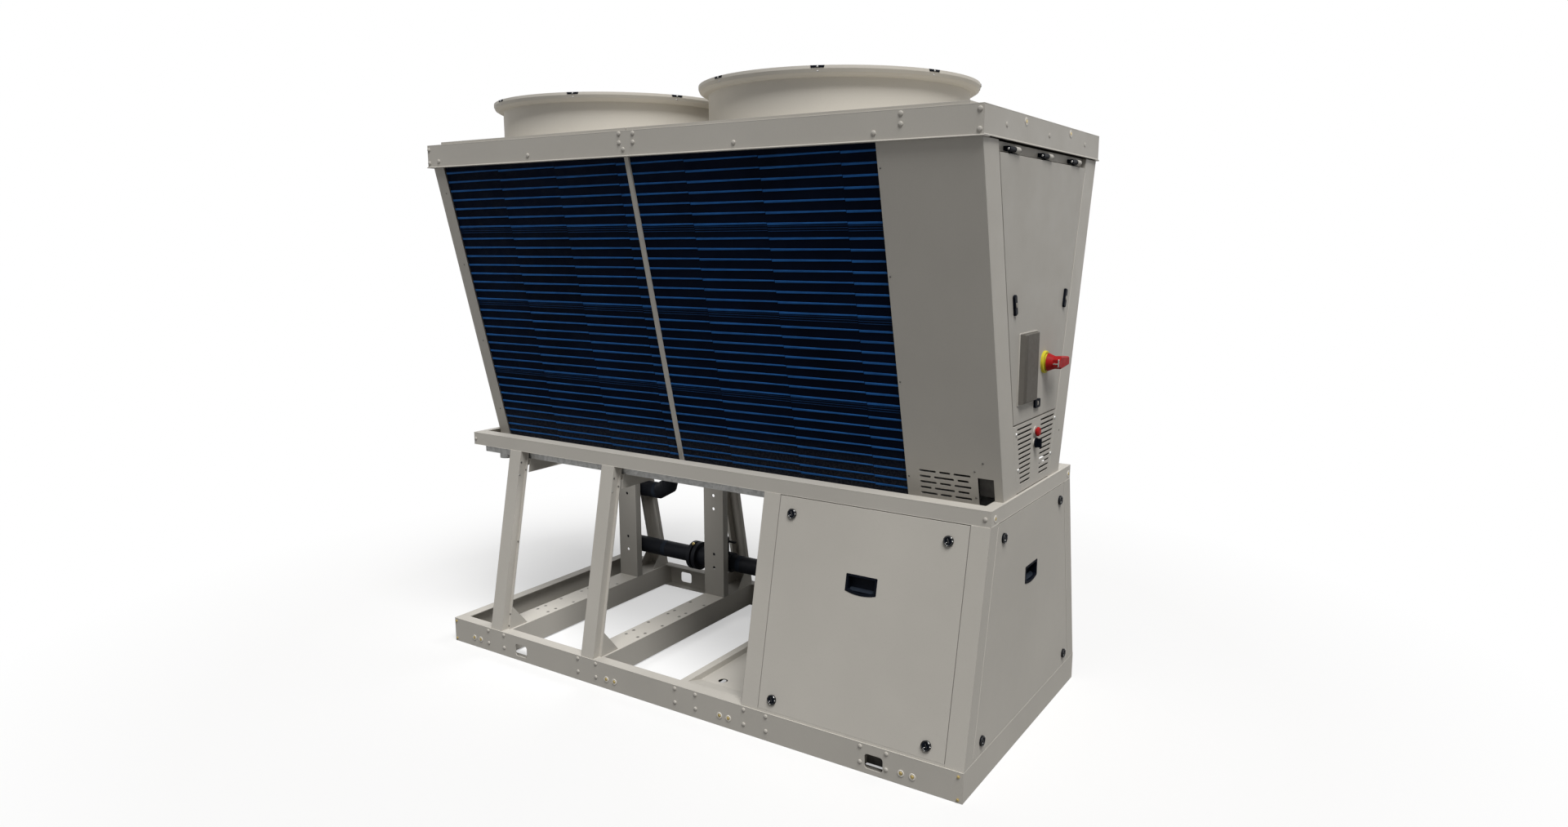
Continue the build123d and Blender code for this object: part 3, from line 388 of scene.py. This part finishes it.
class Pile:
    """Small solids gathered into one mesh."""

    def __init__(self):
        self.mesh = bmesh.new()

    def loop(self, place, points, height):
        return [self.mesh.verts.new(place @ Vector((x, y, height))) for x, y in points]

    def skin(self, low, high):
        count = len(low)
        for k in range(count):
            j = (k + 1) % count
            self.mesh.faces.new((low[k], low[j], high[j], high[k]))

    def stack(self, loops):
        """A closed solid through the loops, from its foot to its top."""
        for low, high in zip(loops, loops[1:]):
            self.skin(low, high)
        self.mesh.faces.new(reversed(loops[0]))
        self.mesh.faces.new(loops[-1])

    def lathe(self, place, profile, sides=16):
        """A turned solid from (radius, height) points, foot first."""
        turns = [2 * math.pi * k / sides for k in range(sides)]
        self.stack([self.loop(place, [(r * math.cos(a), r * math.sin(a)) for a in turns], h)
                    for r, h in profile])

    def dome(self, place, radius, height, foot=-0.3):
        """A button head: a short skirt and a round crown."""
        crown = [(radius * math.cos(a), height * (0.25 + 0.75 * math.sin(a)))
                 for a in (math.radians(18 * k) for k in range(5))]
        self.lathe(place, [(radius, foot), *crown])

    def prism(self, place, outline, low, high, edge=0.0):
        """A flat shape raised from low to high, its top edge cut back by edge."""
        loops = [self.loop(place, outline, low), self.loop(place, outline, high - edge)]
        if edge:
            loops.append(self.loop(place, shrunk(outline, edge), high))
        self.stack(loops)

    def collar(self, place, inner, outer, low, high, sides=24, edge=0.4):
        """A flat ring with softened edges."""
        section = [(outer, low), (outer, high - edge), (outer - edge, high),
                   (inner + edge, high), (inner, high - edge), (inner, low)]
        turns = [2 * math.pi * k / sides for k in range(sides)]
        loops = [self.loop(place, [(r * math.cos(a), r * math.sin(a)) for a in turns], h)
                 for r, h in section]
        for k, loop in enumerate(loops):
            self.skin(loop, loops[(k + 1) % len(loops)])

    def border(self, place, outline, wide, low, high, edge=0.4):
        """A raised rim that follows an outline, inside it."""
        inner = shrunk(outline, wide)
        section = [(outline, low), (outline, high - edge), (shrunk(outline, edge), high),
                   (shrunk(outline, wide - edge), high), (inner, high - edge), (inner, low)]
        loops = [self.loop(place, points, height) for points, height in section]
        for k, loop in enumerate(loops):
            self.skin(loop, loops[(k + 1) % len(loops)])

    def hoop(self, centre, radius, wire, steps=112, sides=6):
        """A round wire bent into a level ring."""
        loops = []
        for step in range(steps):
            turn = 2 * math.pi * step / steps
            loop = []
            for side in range(sides):
                angle = 2 * math.pi * side / sides
                reach = radius + wire * math.cos(angle)
                loop.append(self.mesh.verts.new(at(centre[0] + reach * math.cos(turn),
                                                   centre[1] + reach * math.sin(turn),
                                                   centre[2] + wire * math.sin(angle))))
            loops.append(loop)
        for step, loop in enumerate(loops):
            self.skin(loop, loops[(step + 1) % steps])

    def finish(self, name, body, material, slot, smooth=34.0):
        bmesh.ops.recalc_face_normals(self.mesh, faces=self.mesh.faces)
        mesh = bpy.data.meshes.new(name)
        self.mesh.to_mesh(mesh)
        self.mesh.free()
        for face in mesh.polygons:
            face.use_smooth = True
        mesh.set_sharp_from_angle(angle=math.radians(smooth))
        mesh.materials.append(material)
        piece = bpy.data.objects.new(name, mesh)
        bpy.context.scene.collection.objects.link(piece)
        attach(piece, body)
        return piece


# Fasteners of the base frame
BASE_DOMES = (-984, -888, -455.5, -358.6, 44, 141, 359.5, 455, 833.5, 931)
BASE_DOME_ROWS = (91.5, 36.0)
BASE_PLATED = (-1075, -1035, -303, -261, 252, 292, 985, 1026)
BASE_PLATED_Z = 40.0
CORNER_BOLTS = ((-1190, 91), (-1190, 12), (1184, 89), (1184, 11))
BOLT_RADIUS, BOLT_HIGH = 7.5, 4.6


def build_base_fasteners():
    domes, collars, yellow_heads = Pile(), Pile(), Pile()
    for x in BASE_DOMES:
        for z in BASE_DOME_ROWS:
            domes.dome(base_front(x, z), BOLT_RADIUS, BOLT_HIGH)
    plated_head = [(6.8, -0.3), (6.8, 1.4), (5.6, 1.5), (5.6, 3.0), (4.6, 3.8)]
    for x in BASE_PLATED:
        place = base_front(x, BASE_PLATED_Z)
        collars.collar(place, 7.0, 11.5, -0.3, 2.4)
        yellow_heads.lathe(place, plated_head, 12)
    corner_head = [(5.5, -0.3), (5.5, 0.8), (4.6, 0.9), (4.6, 3.0), (3.8, 3.8)]
    for x, z in CORNER_BOLTS:
        yellow_heads.lathe(base_front(x, z), corner_head, 6)
    domes.finish("base_bolt_heads", "unit", steel, "frame_paint")
    collars.finish("base_bolt_collars", "unit", highlight_and_ring_coat, "frame_paint")
    yellow_heads.finish("base_yellow_bolts", "unit", yellow_zinc, "galvanised_sheet")


# Fixing points of a leg beam: how far each row is to a side, and where it is along the beam
BEAM_ROWS = ((32, (-284, -237, -9, 37)), (39, (-133, 160)))


def build_beam_holes():
    """Fixing points in the top of the two beams that carry the legs."""
    rims, holes = Pile(), Pile()
    for x in BAYS:
        spots = [(side * reach, y) for reach, ys in BEAM_ROWS for side in (-1, 1) for y in ys]
        for dx, y in spots:
            place = upward(x + dx, y, BASE_TOP)
            rims.collar(place, 6.5, 8.5, -0.3, 0.7, 20, 0.25)
            holes.lathe(place, [(6.6, -0.3), (6.6, 0.2)], 20)
    rims.finish("beam_hole_rims", "unit", steel, "frame_paint")
    holes.finish("beam_hole_plugs", "unit", screw_dark, "hinge_steel")


# Screws of the legs: by bay and height on the flange, and by depth and height on the wall
LEG_SPOTS = ((0, 776.8), (0, 473.8), (0, 167.5), (0, 118.0), (1, 775.8))
LEG_FLANGE, LEG_FLANGE_SUNK, LEG_WALL = 39.0, 33.5, 33.0
LEG_PLUG, LEG_WALL_SCREW = (-412, 760), (-400, 812)


def build_leg_screws():
    screws, plugs = Pile(), Pile()
    for bay, z in LEG_SPOTS:
        screws.dome(lower_front(BAYS[bay] + LEG_FLANGE, z, LEG_FLANGE_SUNK), 4.0, 2.4)
    for x in BAYS:
        plugs.dome(facing((x + LEG_WALL, *LEG_PLUG), (1, 0, 0)), 4.5, 1.2)
        screws.dome(facing((x + LEG_WALL, *LEG_WALL_SCREW), (1, 0, 0)), 4.0, 2.4)
    screws.finish("leg_screws", "unit", screw_dark, "hinge_steel")
    plugs.finish("leg_plugs", "unit", bright, "galvanised_sheet")


# Fasteners of the middle and top frames
TOP_DOMES = ((-1188.5, 2105), (-1188.5, 2053), (-1131, 2058), (-618, 2059), (-159, 2113),
             (-159, 2082), (-95, 2111), (-95, 2081), (-141, 2059), (337, 2058), (850, 2059),
             (939, 2110), (939, 2080), (1185, 2107), (1185, 2052))
TOP_END_DOMES, TOP_END_DOME_Z = (-381, 0, 384), 2079
MID_DOMES = ((1180.5, 884), (-1189.7, 884))
TOP_PLATED, TOP_PLATED_Z = (-219, 219), 2103
MID_PLATED, MID_PLATED_Z = (-361, 374), 881
TOP_BOLT_RADIUS, TOP_END_BOLT_HIGH = 8.0, 2.3


def build_frame_fasteners():
    domes, rings, heads = Pile(), Pile(), Pile()
    for x, z in TOP_DOMES:
        domes.dome(top_front(x, z), TOP_BOLT_RADIUS, BOLT_HIGH)
    for y in TOP_END_DOMES:
        domes.dome(top_end(y, TOP_END_DOME_Z), TOP_BOLT_RADIUS, TOP_END_BOLT_HIGH)
    for x, z in MID_DOMES:
        domes.dome(mid_front(x, z), BOLT_RADIUS, BOLT_HIGH)
    head = [(6.2, -0.3), (6.2, 0.9), (4.8, 1.0), (4.6, 2.3), (3.8, 2.5)]
    places = [top_end(y, TOP_PLATED_Z) for y in TOP_PLATED]
    places += [base_end(y, MID_PLATED_Z) for y in MID_PLATED]
    for place in places:
        rings.collar(place, 6.0, 12.0, -0.3, 1.6)
        heads.lathe(place, head, 12)
    domes.finish("frame_bolt_heads", "unit", steel, "frame_paint")
    rings.finish("frame_bolt_rings", "unit", highlight_and_ring_coat, "frame_paint")
    heads.finish("frame_plated_bolts", "unit", yellow_zinc, "galvanised_sheet")


# Screws and rivets of the V section
POST_SCREW_X, POST_SCREW_ZS = -1136, (1933, 1644, 1318, 1010)
SIDE_SCREW_X, SIDE_SCREW_ZS = 861, (1959, 1633, 1291, 961)
NOTCH_SCREWS = ((1129.6, 1039.7), (1099.7, 1007.6), (1099.5, 915.5))
VENT_SCREWS = ((-181, 1119.5), (-150.5, 995), (205, 1120), (175.8, 995.5))
STILE_SCREW = (261.5, 1066)


def build_panel_screws():
    small, large = Pile(), Pile()
    for z in POST_SCREW_ZS:
        small.dome(v_side(POST_SCREW_X, z), 3.2, 1.4)
    for z in SIDE_SCREW_ZS:
        small.dome(v_side(SIDE_SCREW_X, z), 3.4, 1.4)
    for x, z in NOTCH_SCREWS:
        small.dome(v_side(x, z), 3.6, 1.6)
    for y, z in VENT_SCREWS:
        large.dome(on_door(y, z), 6.4, 3.0)
    small.dome(on_door(*STILE_SCREW), 3.2, 1.4)
    small.finish("side_screws", "unit", screw_dark, "hinge_steel")
    large.finish("vent_screws", "unit", bright, "galvanised_sheet")


# Tube lines on the coil faces: tiles of eight lines, each line tapering to the right
TILE_LEFT, TILE_WIDE = -1115.0, 306.5
TILE_FOOT, TILE_HIGH = 909.0, 297.0
LINE_PITCH, LINE_TOP = 35.5, 2026.0


def line_part(pile, side, z, thick, spans, proud):
    for tile in range(7):
        start = TILE_LEFT + tile * TILE_WIDE
        for low, high in spans:
            x0, x1 = max(start + 1, low), min(start + TILE_WIDE - 1, high)
            if x1 - x0 < 8:
                continue
            ends = []
            for x in (x0, x1):
                along = (x - start) / TILE_WIDE
                half = thick * (1 - 0.38 * along) / 2
                mid = 2.6 * along - 2.0
                ends.append((mid - half, mid + half))
            wide = x1 - x0
            (a0, a1), (b0, b1) = ends
            outline = [(0, a0), (wide, b0), (wide, b1), (0, a1)]
            if side > 0:
                outline = [(0, b0), (wide, a0), (wide, a1), (0, b1)]
            place = v_side(x0 if side < 0 else x1, z, COIL_SUNK, side)
            pile.prism(place, outline, -0.5, proud, proud / 2)


def build_coil_lines():
    lines, faint = Pile(), Pile()
    spans = ((COIL_LEFT + 1, DIVIDER[0] - 1), (DIVIDER[1] + 1, COIL_RIGHT - 1))
    for side in (-1, 1):
        for row in range(4):
            foot = TILE_FOOT + row * TILE_HIGH
            for k in range(8):
                z = foot + k * LINE_PITCH
                if V_Z - 2 < z + 4 < LINE_TOP:
                    line_part(lines, side, max(z, V_Z + 2), 8.0, spans, 2.2)
            for drop in (8.0, 16.0, 24.0):
                if row:
                    line_part(faint, side, foot - drop, 2.6, spans, 1.0)
    lines.finish("coil_tube_lines", "unit", tubes, "coil_fins")
    faint.finish("coil_tile_seams", "unit", faint_tubes, "coil_fins")


# Fan shrouds: clips in the rim, and the guards' ring wires
CLIP_COUNT = 8
RING_FIRST, RING_PITCH, RING_COUNT = 120.0, 24.0, 16
RING_WIRE, RING_LIFT = 1.8, 0.6


def build_fan_trim():
    clips, studs, wires = Pile(), Pile(), Pile()
    for x in FANS:
        for k in range(CLIP_COUNT):
            turn = 2 * math.pi * (k + 0.5) / CLIP_COUNT
            out = (math.cos(turn), math.sin(turn), 0)
            place = facing((x + LIP_RADIUS * out[0], LIP_RADIUS * out[1], RIM_TOP - 4.0), out)
            shape = [(-20.5, -3.6), (20.5, -3.6), (23.0, 3.8), (-23.0, 3.8)]
            clips.prism(place, shape, -1.0, 1.2, 0.3)
            studs.dome(place @ Matrix.Translation((0, 0, 1.0)), 3.2, 2.2)
            studs.dome(place @ Matrix.Translation((0, -13.0, -3.2)), 3.0, 1.8)
        for ring in range(RING_COUNT):
            radius = RING_FIRST + ring * RING_PITCH
            wires.hoop((x, 0, GUARD_TOP + RING_LIFT), radius, RING_WIRE)
    clips.finish("rim_clips", "unit", black, "dark_plastic")
    studs.finish("rim_clip_studs", "unit", zinc, "galvanised_sheet")
    wires.finish("guard_rings", "unit", black, "guard_wire", 60.0)


# Locks, latches and the things on the door
LOCK_XS = (473.0, 1066.0)
LOCK_ZS = (154.0, 799.0)
LOCK_OUT = 7.0
LOCK_END_IN = 127.0
# Bright dots on each lock, by turn, reach and radius: painted highlights on the rim and the insert
LOCK_GLINTS = ((48, 15.2, 2.7), (3, 15.6, 2.1), (232, 7.0, 1.7), (262, 15.4, 2.0))
LATCH_Y, LATCH_Z = 247.0, 1544.0
HOOD_Y, HOOD_Z, HOOD_WIDE, HOOD_HIGH, HOOD_OUT = -105.0, 1332.5, 160.0, 227.0, 15.3
HINGE_YS = (-304.0, 0.0, 304.0)
HINGE_X, HINGE_Z, KNUCKLE_HALF = 1193.0, 2013.5, 46.0
ISOLATOR_Y, ISOLATOR_Z = 63.5, 1335.0
# Where two thin bright strips sit on the isolator handle: painted highlights along the handle's
# edges
GLINT_STRIP_X, GLINT_STRIP_Y = 1242.0, 41.5
PORT_Y, PORT_Z = -4.0, 1201.5


def build_locks():
    places = []
    for z in LOCK_ZS:
        depth = LEAN_FOOT - LEAN * (z - LEAN_Z)
        for side in (-1, 1):
            places += [facing((x, side * depth, z), (0, side, LEAN)) for x in LOCK_XS]
            places.append(base_end(side * (depth - LOCK_END_IN), z))
    caps, studs = Pile(), Pile()
    for place in places:
        caps.collar(place, 12.0, 17.6, 4.0, LOCK_OUT + 1.2, 28, 1.6)
        caps.prism(turned(place, 25), rounded(5.0, 16.0, 1.6), 2.0, LOCK_OUT + 0.6, 0.6)
        # Painted highlights: small bright steel dots on the rim and insert
        for turn, reach, radius in LOCK_GLINTS:
            angle = math.radians(turn)
            spot = Matrix.Translation((reach * math.cos(angle), reach * math.sin(angle), LOCK_OUT))
            studs.dome(place @ spot, radius, 1.7)
    caps.finish("lock_caps", "unit", gloss_black, "dark_plastic")
    studs.finish("lock_glints", "unit", bright, "galvanised_sheet")


def build_door_things():
    keys, ribs, rim, pins = Pile(), Pile(), Pile(), Pile()
    glint_strips, bezel, mouth, sleeves = Pile(), Pile(), Pile(), Pile()
    lean = math.degrees(math.atan(SPREAD))
    for side in (-1, 1):
        place = turned(on_door(side * LATCH_Y, LATCH_Z, 6.0), -side * lean)
        keys.prism(place, rounded(7.0, 16.0, 3.2), -0.5, 3.6, 0.8)
    for k in range(6):
        y = HOOD_Y - HOOD_WIDE / 2 + 15.0 + 5.0 * k
        ribs.prism(on_door(y, HOOD_Z, HOOD_OUT), rounded(2.2, HOOD_HIGH - 10, 1.0), -0.5, 0.9, 0.4)
    rim.border(on_door(HOOD_Y, HOOD_Z), rounded(HOOD_WIDE + 9, HOOD_HIGH + 9, 4.0), 4.0, -0.3, 3.0)
    # Two thin bright steel strips on the isolator handle: painted highlights along its edges
    grip = facing((GLINT_STRIP_X, GLINT_STRIP_Y, ISOLATOR_Z), (0, -1, 0))
    glint_strips.prism(grip @ Matrix.Translation((7.0, 0, 0)), rounded(4.5, 26.0, 1.2), -2.0, 1.6, 0.4)
    glint_strips.prism(grip @ Matrix.Translation((-2.0, -3.0, 0)), rounded(20.0, 4.0, 1.2), -2.0, 1.2, 0.4)
    bezel.collar(on_door(ISOLATOR_Y, ISOLATOR_Z), 27.5, 38.5, -0.2, 9.5, 40, 2.2)
    mouth.prism(on_door(PORT_Y + 3.5, PORT_Z, 1.5), rounded(12.0, 16.0, 3.0), 0.0, 6.0, 0.5)
    for y in HINGE_YS:
        along = facing((HINGE_X, y + 3, HINGE_Z), (0, 1, 0))
        sleeves.collar(along, 7.6, 9.4, 0.0, KNUCKLE_HALF - 9, 24, 0.6)
        for end, side in ((y - KNUCKLE_HALF, -1), (y + KNUCKLE_HALF, 1)):
            pins.dome(facing((HINGE_X, end, HINGE_Z), (0, side, 0)), 3.6, 1.6, -1.0)
    keys.finish("latch_keys", "door", key_grey, "dark_plastic")
    ribs.finish("hood_ribs", "door", hood_grey, "screen_cover")
    rim.finish("hood_rim", "door", door_coat, "door_paint")
    pins.finish("hinge_pin_heads", "unit", bright, "galvanised_sheet")
    glint_strips.finish("isolator_glint_strips", "isolator", bright, "galvanised_sheet")
    bezel.finish("isolator_bezel", "door", yellow, "yellow_plastic")
    mouth.finish("port_mouth", "door", key_grey, "dark_plastic")
    sleeves.finish("hinge_sleeves", "door", steel, "frame_paint")


# Handle cups, pale strips of painted highlight along edges, and dim sheets of painted shade inside
# the cable notches and behind a base slot
HANDLE_X, HANDLE_Z, HANDLE_WIDE, HANDLE_HIGH = 771.5, 603.0, 113.0, 63.0


def cup_outline(grow):
    across, up = HANDLE_WIDE / 2 + grow, HANDLE_HIGH / 2 + grow
    bow = [(across * t, -up + 9.0 * t * t) for t in (-1, -0.75, -0.5, -0.25, 0, 0.25, 0.5, 0.75, 1)]
    return [*bow, (across, up - 2), (across - 2, up), (2 - across, up), (-across, up - 2)]


def build_handle_trim():
    depth = LEAN_FOOT - LEAN * (HANDLE_Z - LEAN_Z)
    places = [facing((HANDLE_X, side * depth, HANDLE_Z), (0, side, LEAN)) for side in (-1, 1)]
    places.append(base_end(0, HANDLE_Z))
    rims, slopes = Pile(), Pile()
    for place in places:
        rims.border(place, cup_outline(2.5), 7.5, -0.4, 1.4)
        tilt = Matrix.Translation((0, -17.0, -12.5)) @ Matrix.Rotation(math.radians(-52), 4, "X")
        slopes.prism(place @ tilt, rounded(94.0, 17.0, 4.0), -1.0, 1.0, 0.4)
    rims.finish("handle_rims", "unit", black, "dark_plastic")
    slopes.finish("handle_slopes", "unit", slate, "dark_plastic")


def build_highlight_edges():
    """Thin pale strips along the folded sheet edges of frames and panels: painted highlights where
    the edges catch the light.
    """
    edges = Pile()
    for place, long in ((base_front(0, BASE_TOP - 0.9), 2392), (mid_front(0, V_Z - 0.9), 2392),
                        (mid_front(0, MID_FOOT + 0.9), 2392), (top_front(0, 2122.1), 2386)):
        edges.prism(place, rounded(long, 1.6, 0.4), -0.2, 0.35, 0.1)
    for place, long in ((base_end(0, BASE_TOP - 0.9), 1100), (base_end(0, V_Z - 0.9), 786),
                        (base_end(0, MID_FOOT + 0.9), 786), (top_end(0, 2122.1), 1104)):
        edges.prism(place, rounded(long, 1.6, 0.4), -0.2, 0.35, 0.1)
    for side in (-1, 1):
        foot, head = 113.0, 855.0
        low, high = (LEAN_FOOT - LEAN * (z - LEAN_Z) - 68.0 for z in (foot, head))
        middle = base_end(side * (low + high) / 2, (foot + head) / 2)
        lean = math.degrees(math.atan2(side * (low - high), head - foot))
        edges.prism(turned(middle, lean), rounded(1.6, head - foot, 0.4), -0.2, 0.35, 0.1)
    foot, head = 918.0, 2000.0
    low, high = (V_FOOT + SPREAD * (z - V_Z) - 115.5 for z in (foot, head))
    middle = on_door((low + high) / 2, (foot + head) / 2)
    lean = math.degrees(math.atan2(low - high, head - foot))
    edges.prism(turned(middle, lean), rounded(1.6, head - foot, 0.4), -0.2, 0.35, 0.1)
    edges.finish("highlight_edges", "unit", highlight_and_ring_coat, "frame_paint")


def build_shade_sheets():
    # Dim sheets inside the cable notches and behind a base slot: painted shade where these openings
    # look dark
    sheets = Pile()
    sheets.prism(v_side(1124, 958, 36.0), rounded(50, 88, 3), -1.0, 1.0, 0.3)
    sheets.prism(facing((880, -497, 52), (0, -1, 0)), rounded(150, 96, 3), -1.0, 1.0, 0.3)
    for z, high in ((976, 38), (920, 24)):
        sheets.prism(v_side(1136, z, 6.0, 1), rounded(66, high, 2), -1.0, 1.0, 0.3)
    sheets.finish("shade_sheets", "unit", shade_sheet_coat, "casing_paint")


def build_valve_trim():
    """A clamp bolt on the coupling's ear, and tape bands where the pipe foam is joined."""
    bolts, bands = Pile(), Pile()
    bolts.lathe(facing((-575, 350, 312), (0, -1, 0)), [(6.5, -4), (6.5, 4), (5.5, 5)], 6)
    for x, z in ((-770, 246), (-820, 535), (-320, 246)):
        place = facing((x, 386, z), (1, 0, 0))
        bands.collar(place, 38.0, 39.2, -12.0, 12.0, 40, 0.4)
    bolts.finish("coupling_bolt", "unit", yellow_zinc, "galvanised_sheet")
    bands.finish("foam_tape", "unit", slate, "pipe_insulation")


# Stage, light and camera
def build_stage():
    """A round floor that keeps the shadow and fades into the white background."""
    mesh = bmesh.new()
    bmesh.ops.create_circle(mesh, cap_ends=True, radius=FLOOR_RADIUS, segments=96)
    data = bpy.data.meshes.new("stage_floor")
    mesh.to_mesh(data)
    mesh.free()
    floor = bpy.data.objects.new("stage_floor", data)
    bpy.context.scene.collection.objects.link(floor)
    floor.location.z = -FLOOR_DROP
    material = new_material("stage_white", (FLOOR_SEEN,) * 3, 0.9, shine=0.0)
    graph = Graph(material)
    path = graph.tree.nodes.new("ShaderNodeLightPath")
    seen = path.outputs["Is Camera Ray"]
    graph.color(graph.blend(seen, (FLOOR_BOUNCE,) * 3, (FLOOR_SEEN,) * 3))
    length = graph.tree.nodes.new("ShaderNodeVectorMath")
    length.operation = "LENGTH"
    graph.link(graph.coords.outputs["Object"], length.inputs[0])
    far = graph.spread(length.outputs["Value"], 0.0, 1.0, *FLOOR_FADE)
    glow = graph.node("ShaderNodeEmission", Strength=1.0)
    mix = graph.tree.nodes.new("ShaderNodeMixShader")
    pale = graph.math("MAXIMUM", far, FLOOR_GLOW)
    graph.link(graph.math("MULTIPLY", pale, seen), mix.inputs[0])
    graph.link(graph.shader.outputs[0], mix.inputs[1])
    graph.link(glow.outputs[0], mix.inputs[2])
    graph.link(mix.outputs[0], graph.tree.nodes["Material Output"].inputs["Surface"])
    floor.data.materials.append(material)


def build_world():
    world = bpy.data.worlds.new("studio")
    bpy.context.scene.world = world
    world.use_nodes = True
    tree = world.node_tree
    ambient = tree.nodes["Background"]
    ambient.inputs["Color"].default_value = (1.0, 1.0, 1.0, 1)
    ambient.inputs["Strength"].default_value = SKY
    white = tree.nodes.new("ShaderNodeBackground")
    white.inputs["Color"].default_value = (1, 1, 1, 1)
    white.inputs["Strength"].default_value = 1.0
    path = tree.nodes.new("ShaderNodeLightPath")
    seen = None
    for name in ("Is Camera Ray", "Is Glossy Ray", "Is Transmission Ray"):
        if seen is None:
            seen = path.outputs[name]
            continue
        either = tree.nodes.new("ShaderNodeMath")
        either.operation = "MAXIMUM"
        tree.links.new(seen, either.inputs[0])
        tree.links.new(path.outputs[name], either.inputs[1])
        seen = either.outputs[0]
    mix = tree.nodes.new("ShaderNodeMixShader")
    tree.links.new(seen, mix.inputs[0])
    tree.links.new(ambient.outputs[0], mix.inputs[1])
    tree.links.new(white.outputs[0], mix.inputs[2])
    tree.links.new(mix.outputs[0], tree.nodes["World Output"].inputs["Surface"])


def build_sun():
    data = bpy.data.lights.new("soft_sun", "SUN")
    data.energy = SUN_STRENGTH
    data.angle = math.radians(SUN_WIDE)
    data.color = (1.0, 0.995, 0.985)
    lamp = bpy.data.objects.new("soft_sun", data)
    bpy.context.scene.collection.objects.link(lamp)
    lamp.rotation_euler = Vector(SUN_FROM).to_track_quat("Z", "Y").to_euler()


def build_bay_fill():
    """Light thrown into the leg bay, as the bright room around the unit would."""
    data = bpy.data.lights.new("bay_fill", "AREA")
    data.shape = "RECTANGLE"
    data.size, data.size_y = FILL_SIZE
    data.energy = FILL_POWER
    lamp = bpy.data.objects.new("bay_fill", data)
    bpy.context.scene.collection.objects.link(lamp)
    lamp.location = at(*FILL_AT)
    lamp.rotation_euler = Vector(FILL_FROM).to_track_quat("Z", "Y").to_euler()


def build_camera():
    data = bpy.data.cameras.new("photo_camera")
    data.sensor_fit = "HORIZONTAL"
    data.sensor_width = SENSOR
    data.lens = SENSOR * FOCAL_PIXELS / IMAGE_WIDTH
    data.clip_end = VIEW_DEPTH
    camera = bpy.data.objects.new("photo_camera", data)
    bpy.context.scene.collection.objects.link(camera)
    camera.location = at(*CAMERA_AT)
    camera.rotation_euler = Vector(CAMERA_AIM).to_track_quat("-Z", "Y").to_euler()
    bpy.context.scene.camera = camera


build_base_fasteners()
build_beam_holes()
build_leg_screws()
build_frame_fasteners()
build_panel_screws()
build_coil_lines()
build_fan_trim()
build_locks()
build_door_things()
build_handle_trim()
build_highlight_edges()
build_shade_sheets()
build_valve_trim()
build_stage()
build_world()
build_sun()
build_bay_fill()
build_camera()
bpy.context.scene.view_settings.view_transform = "Standard"
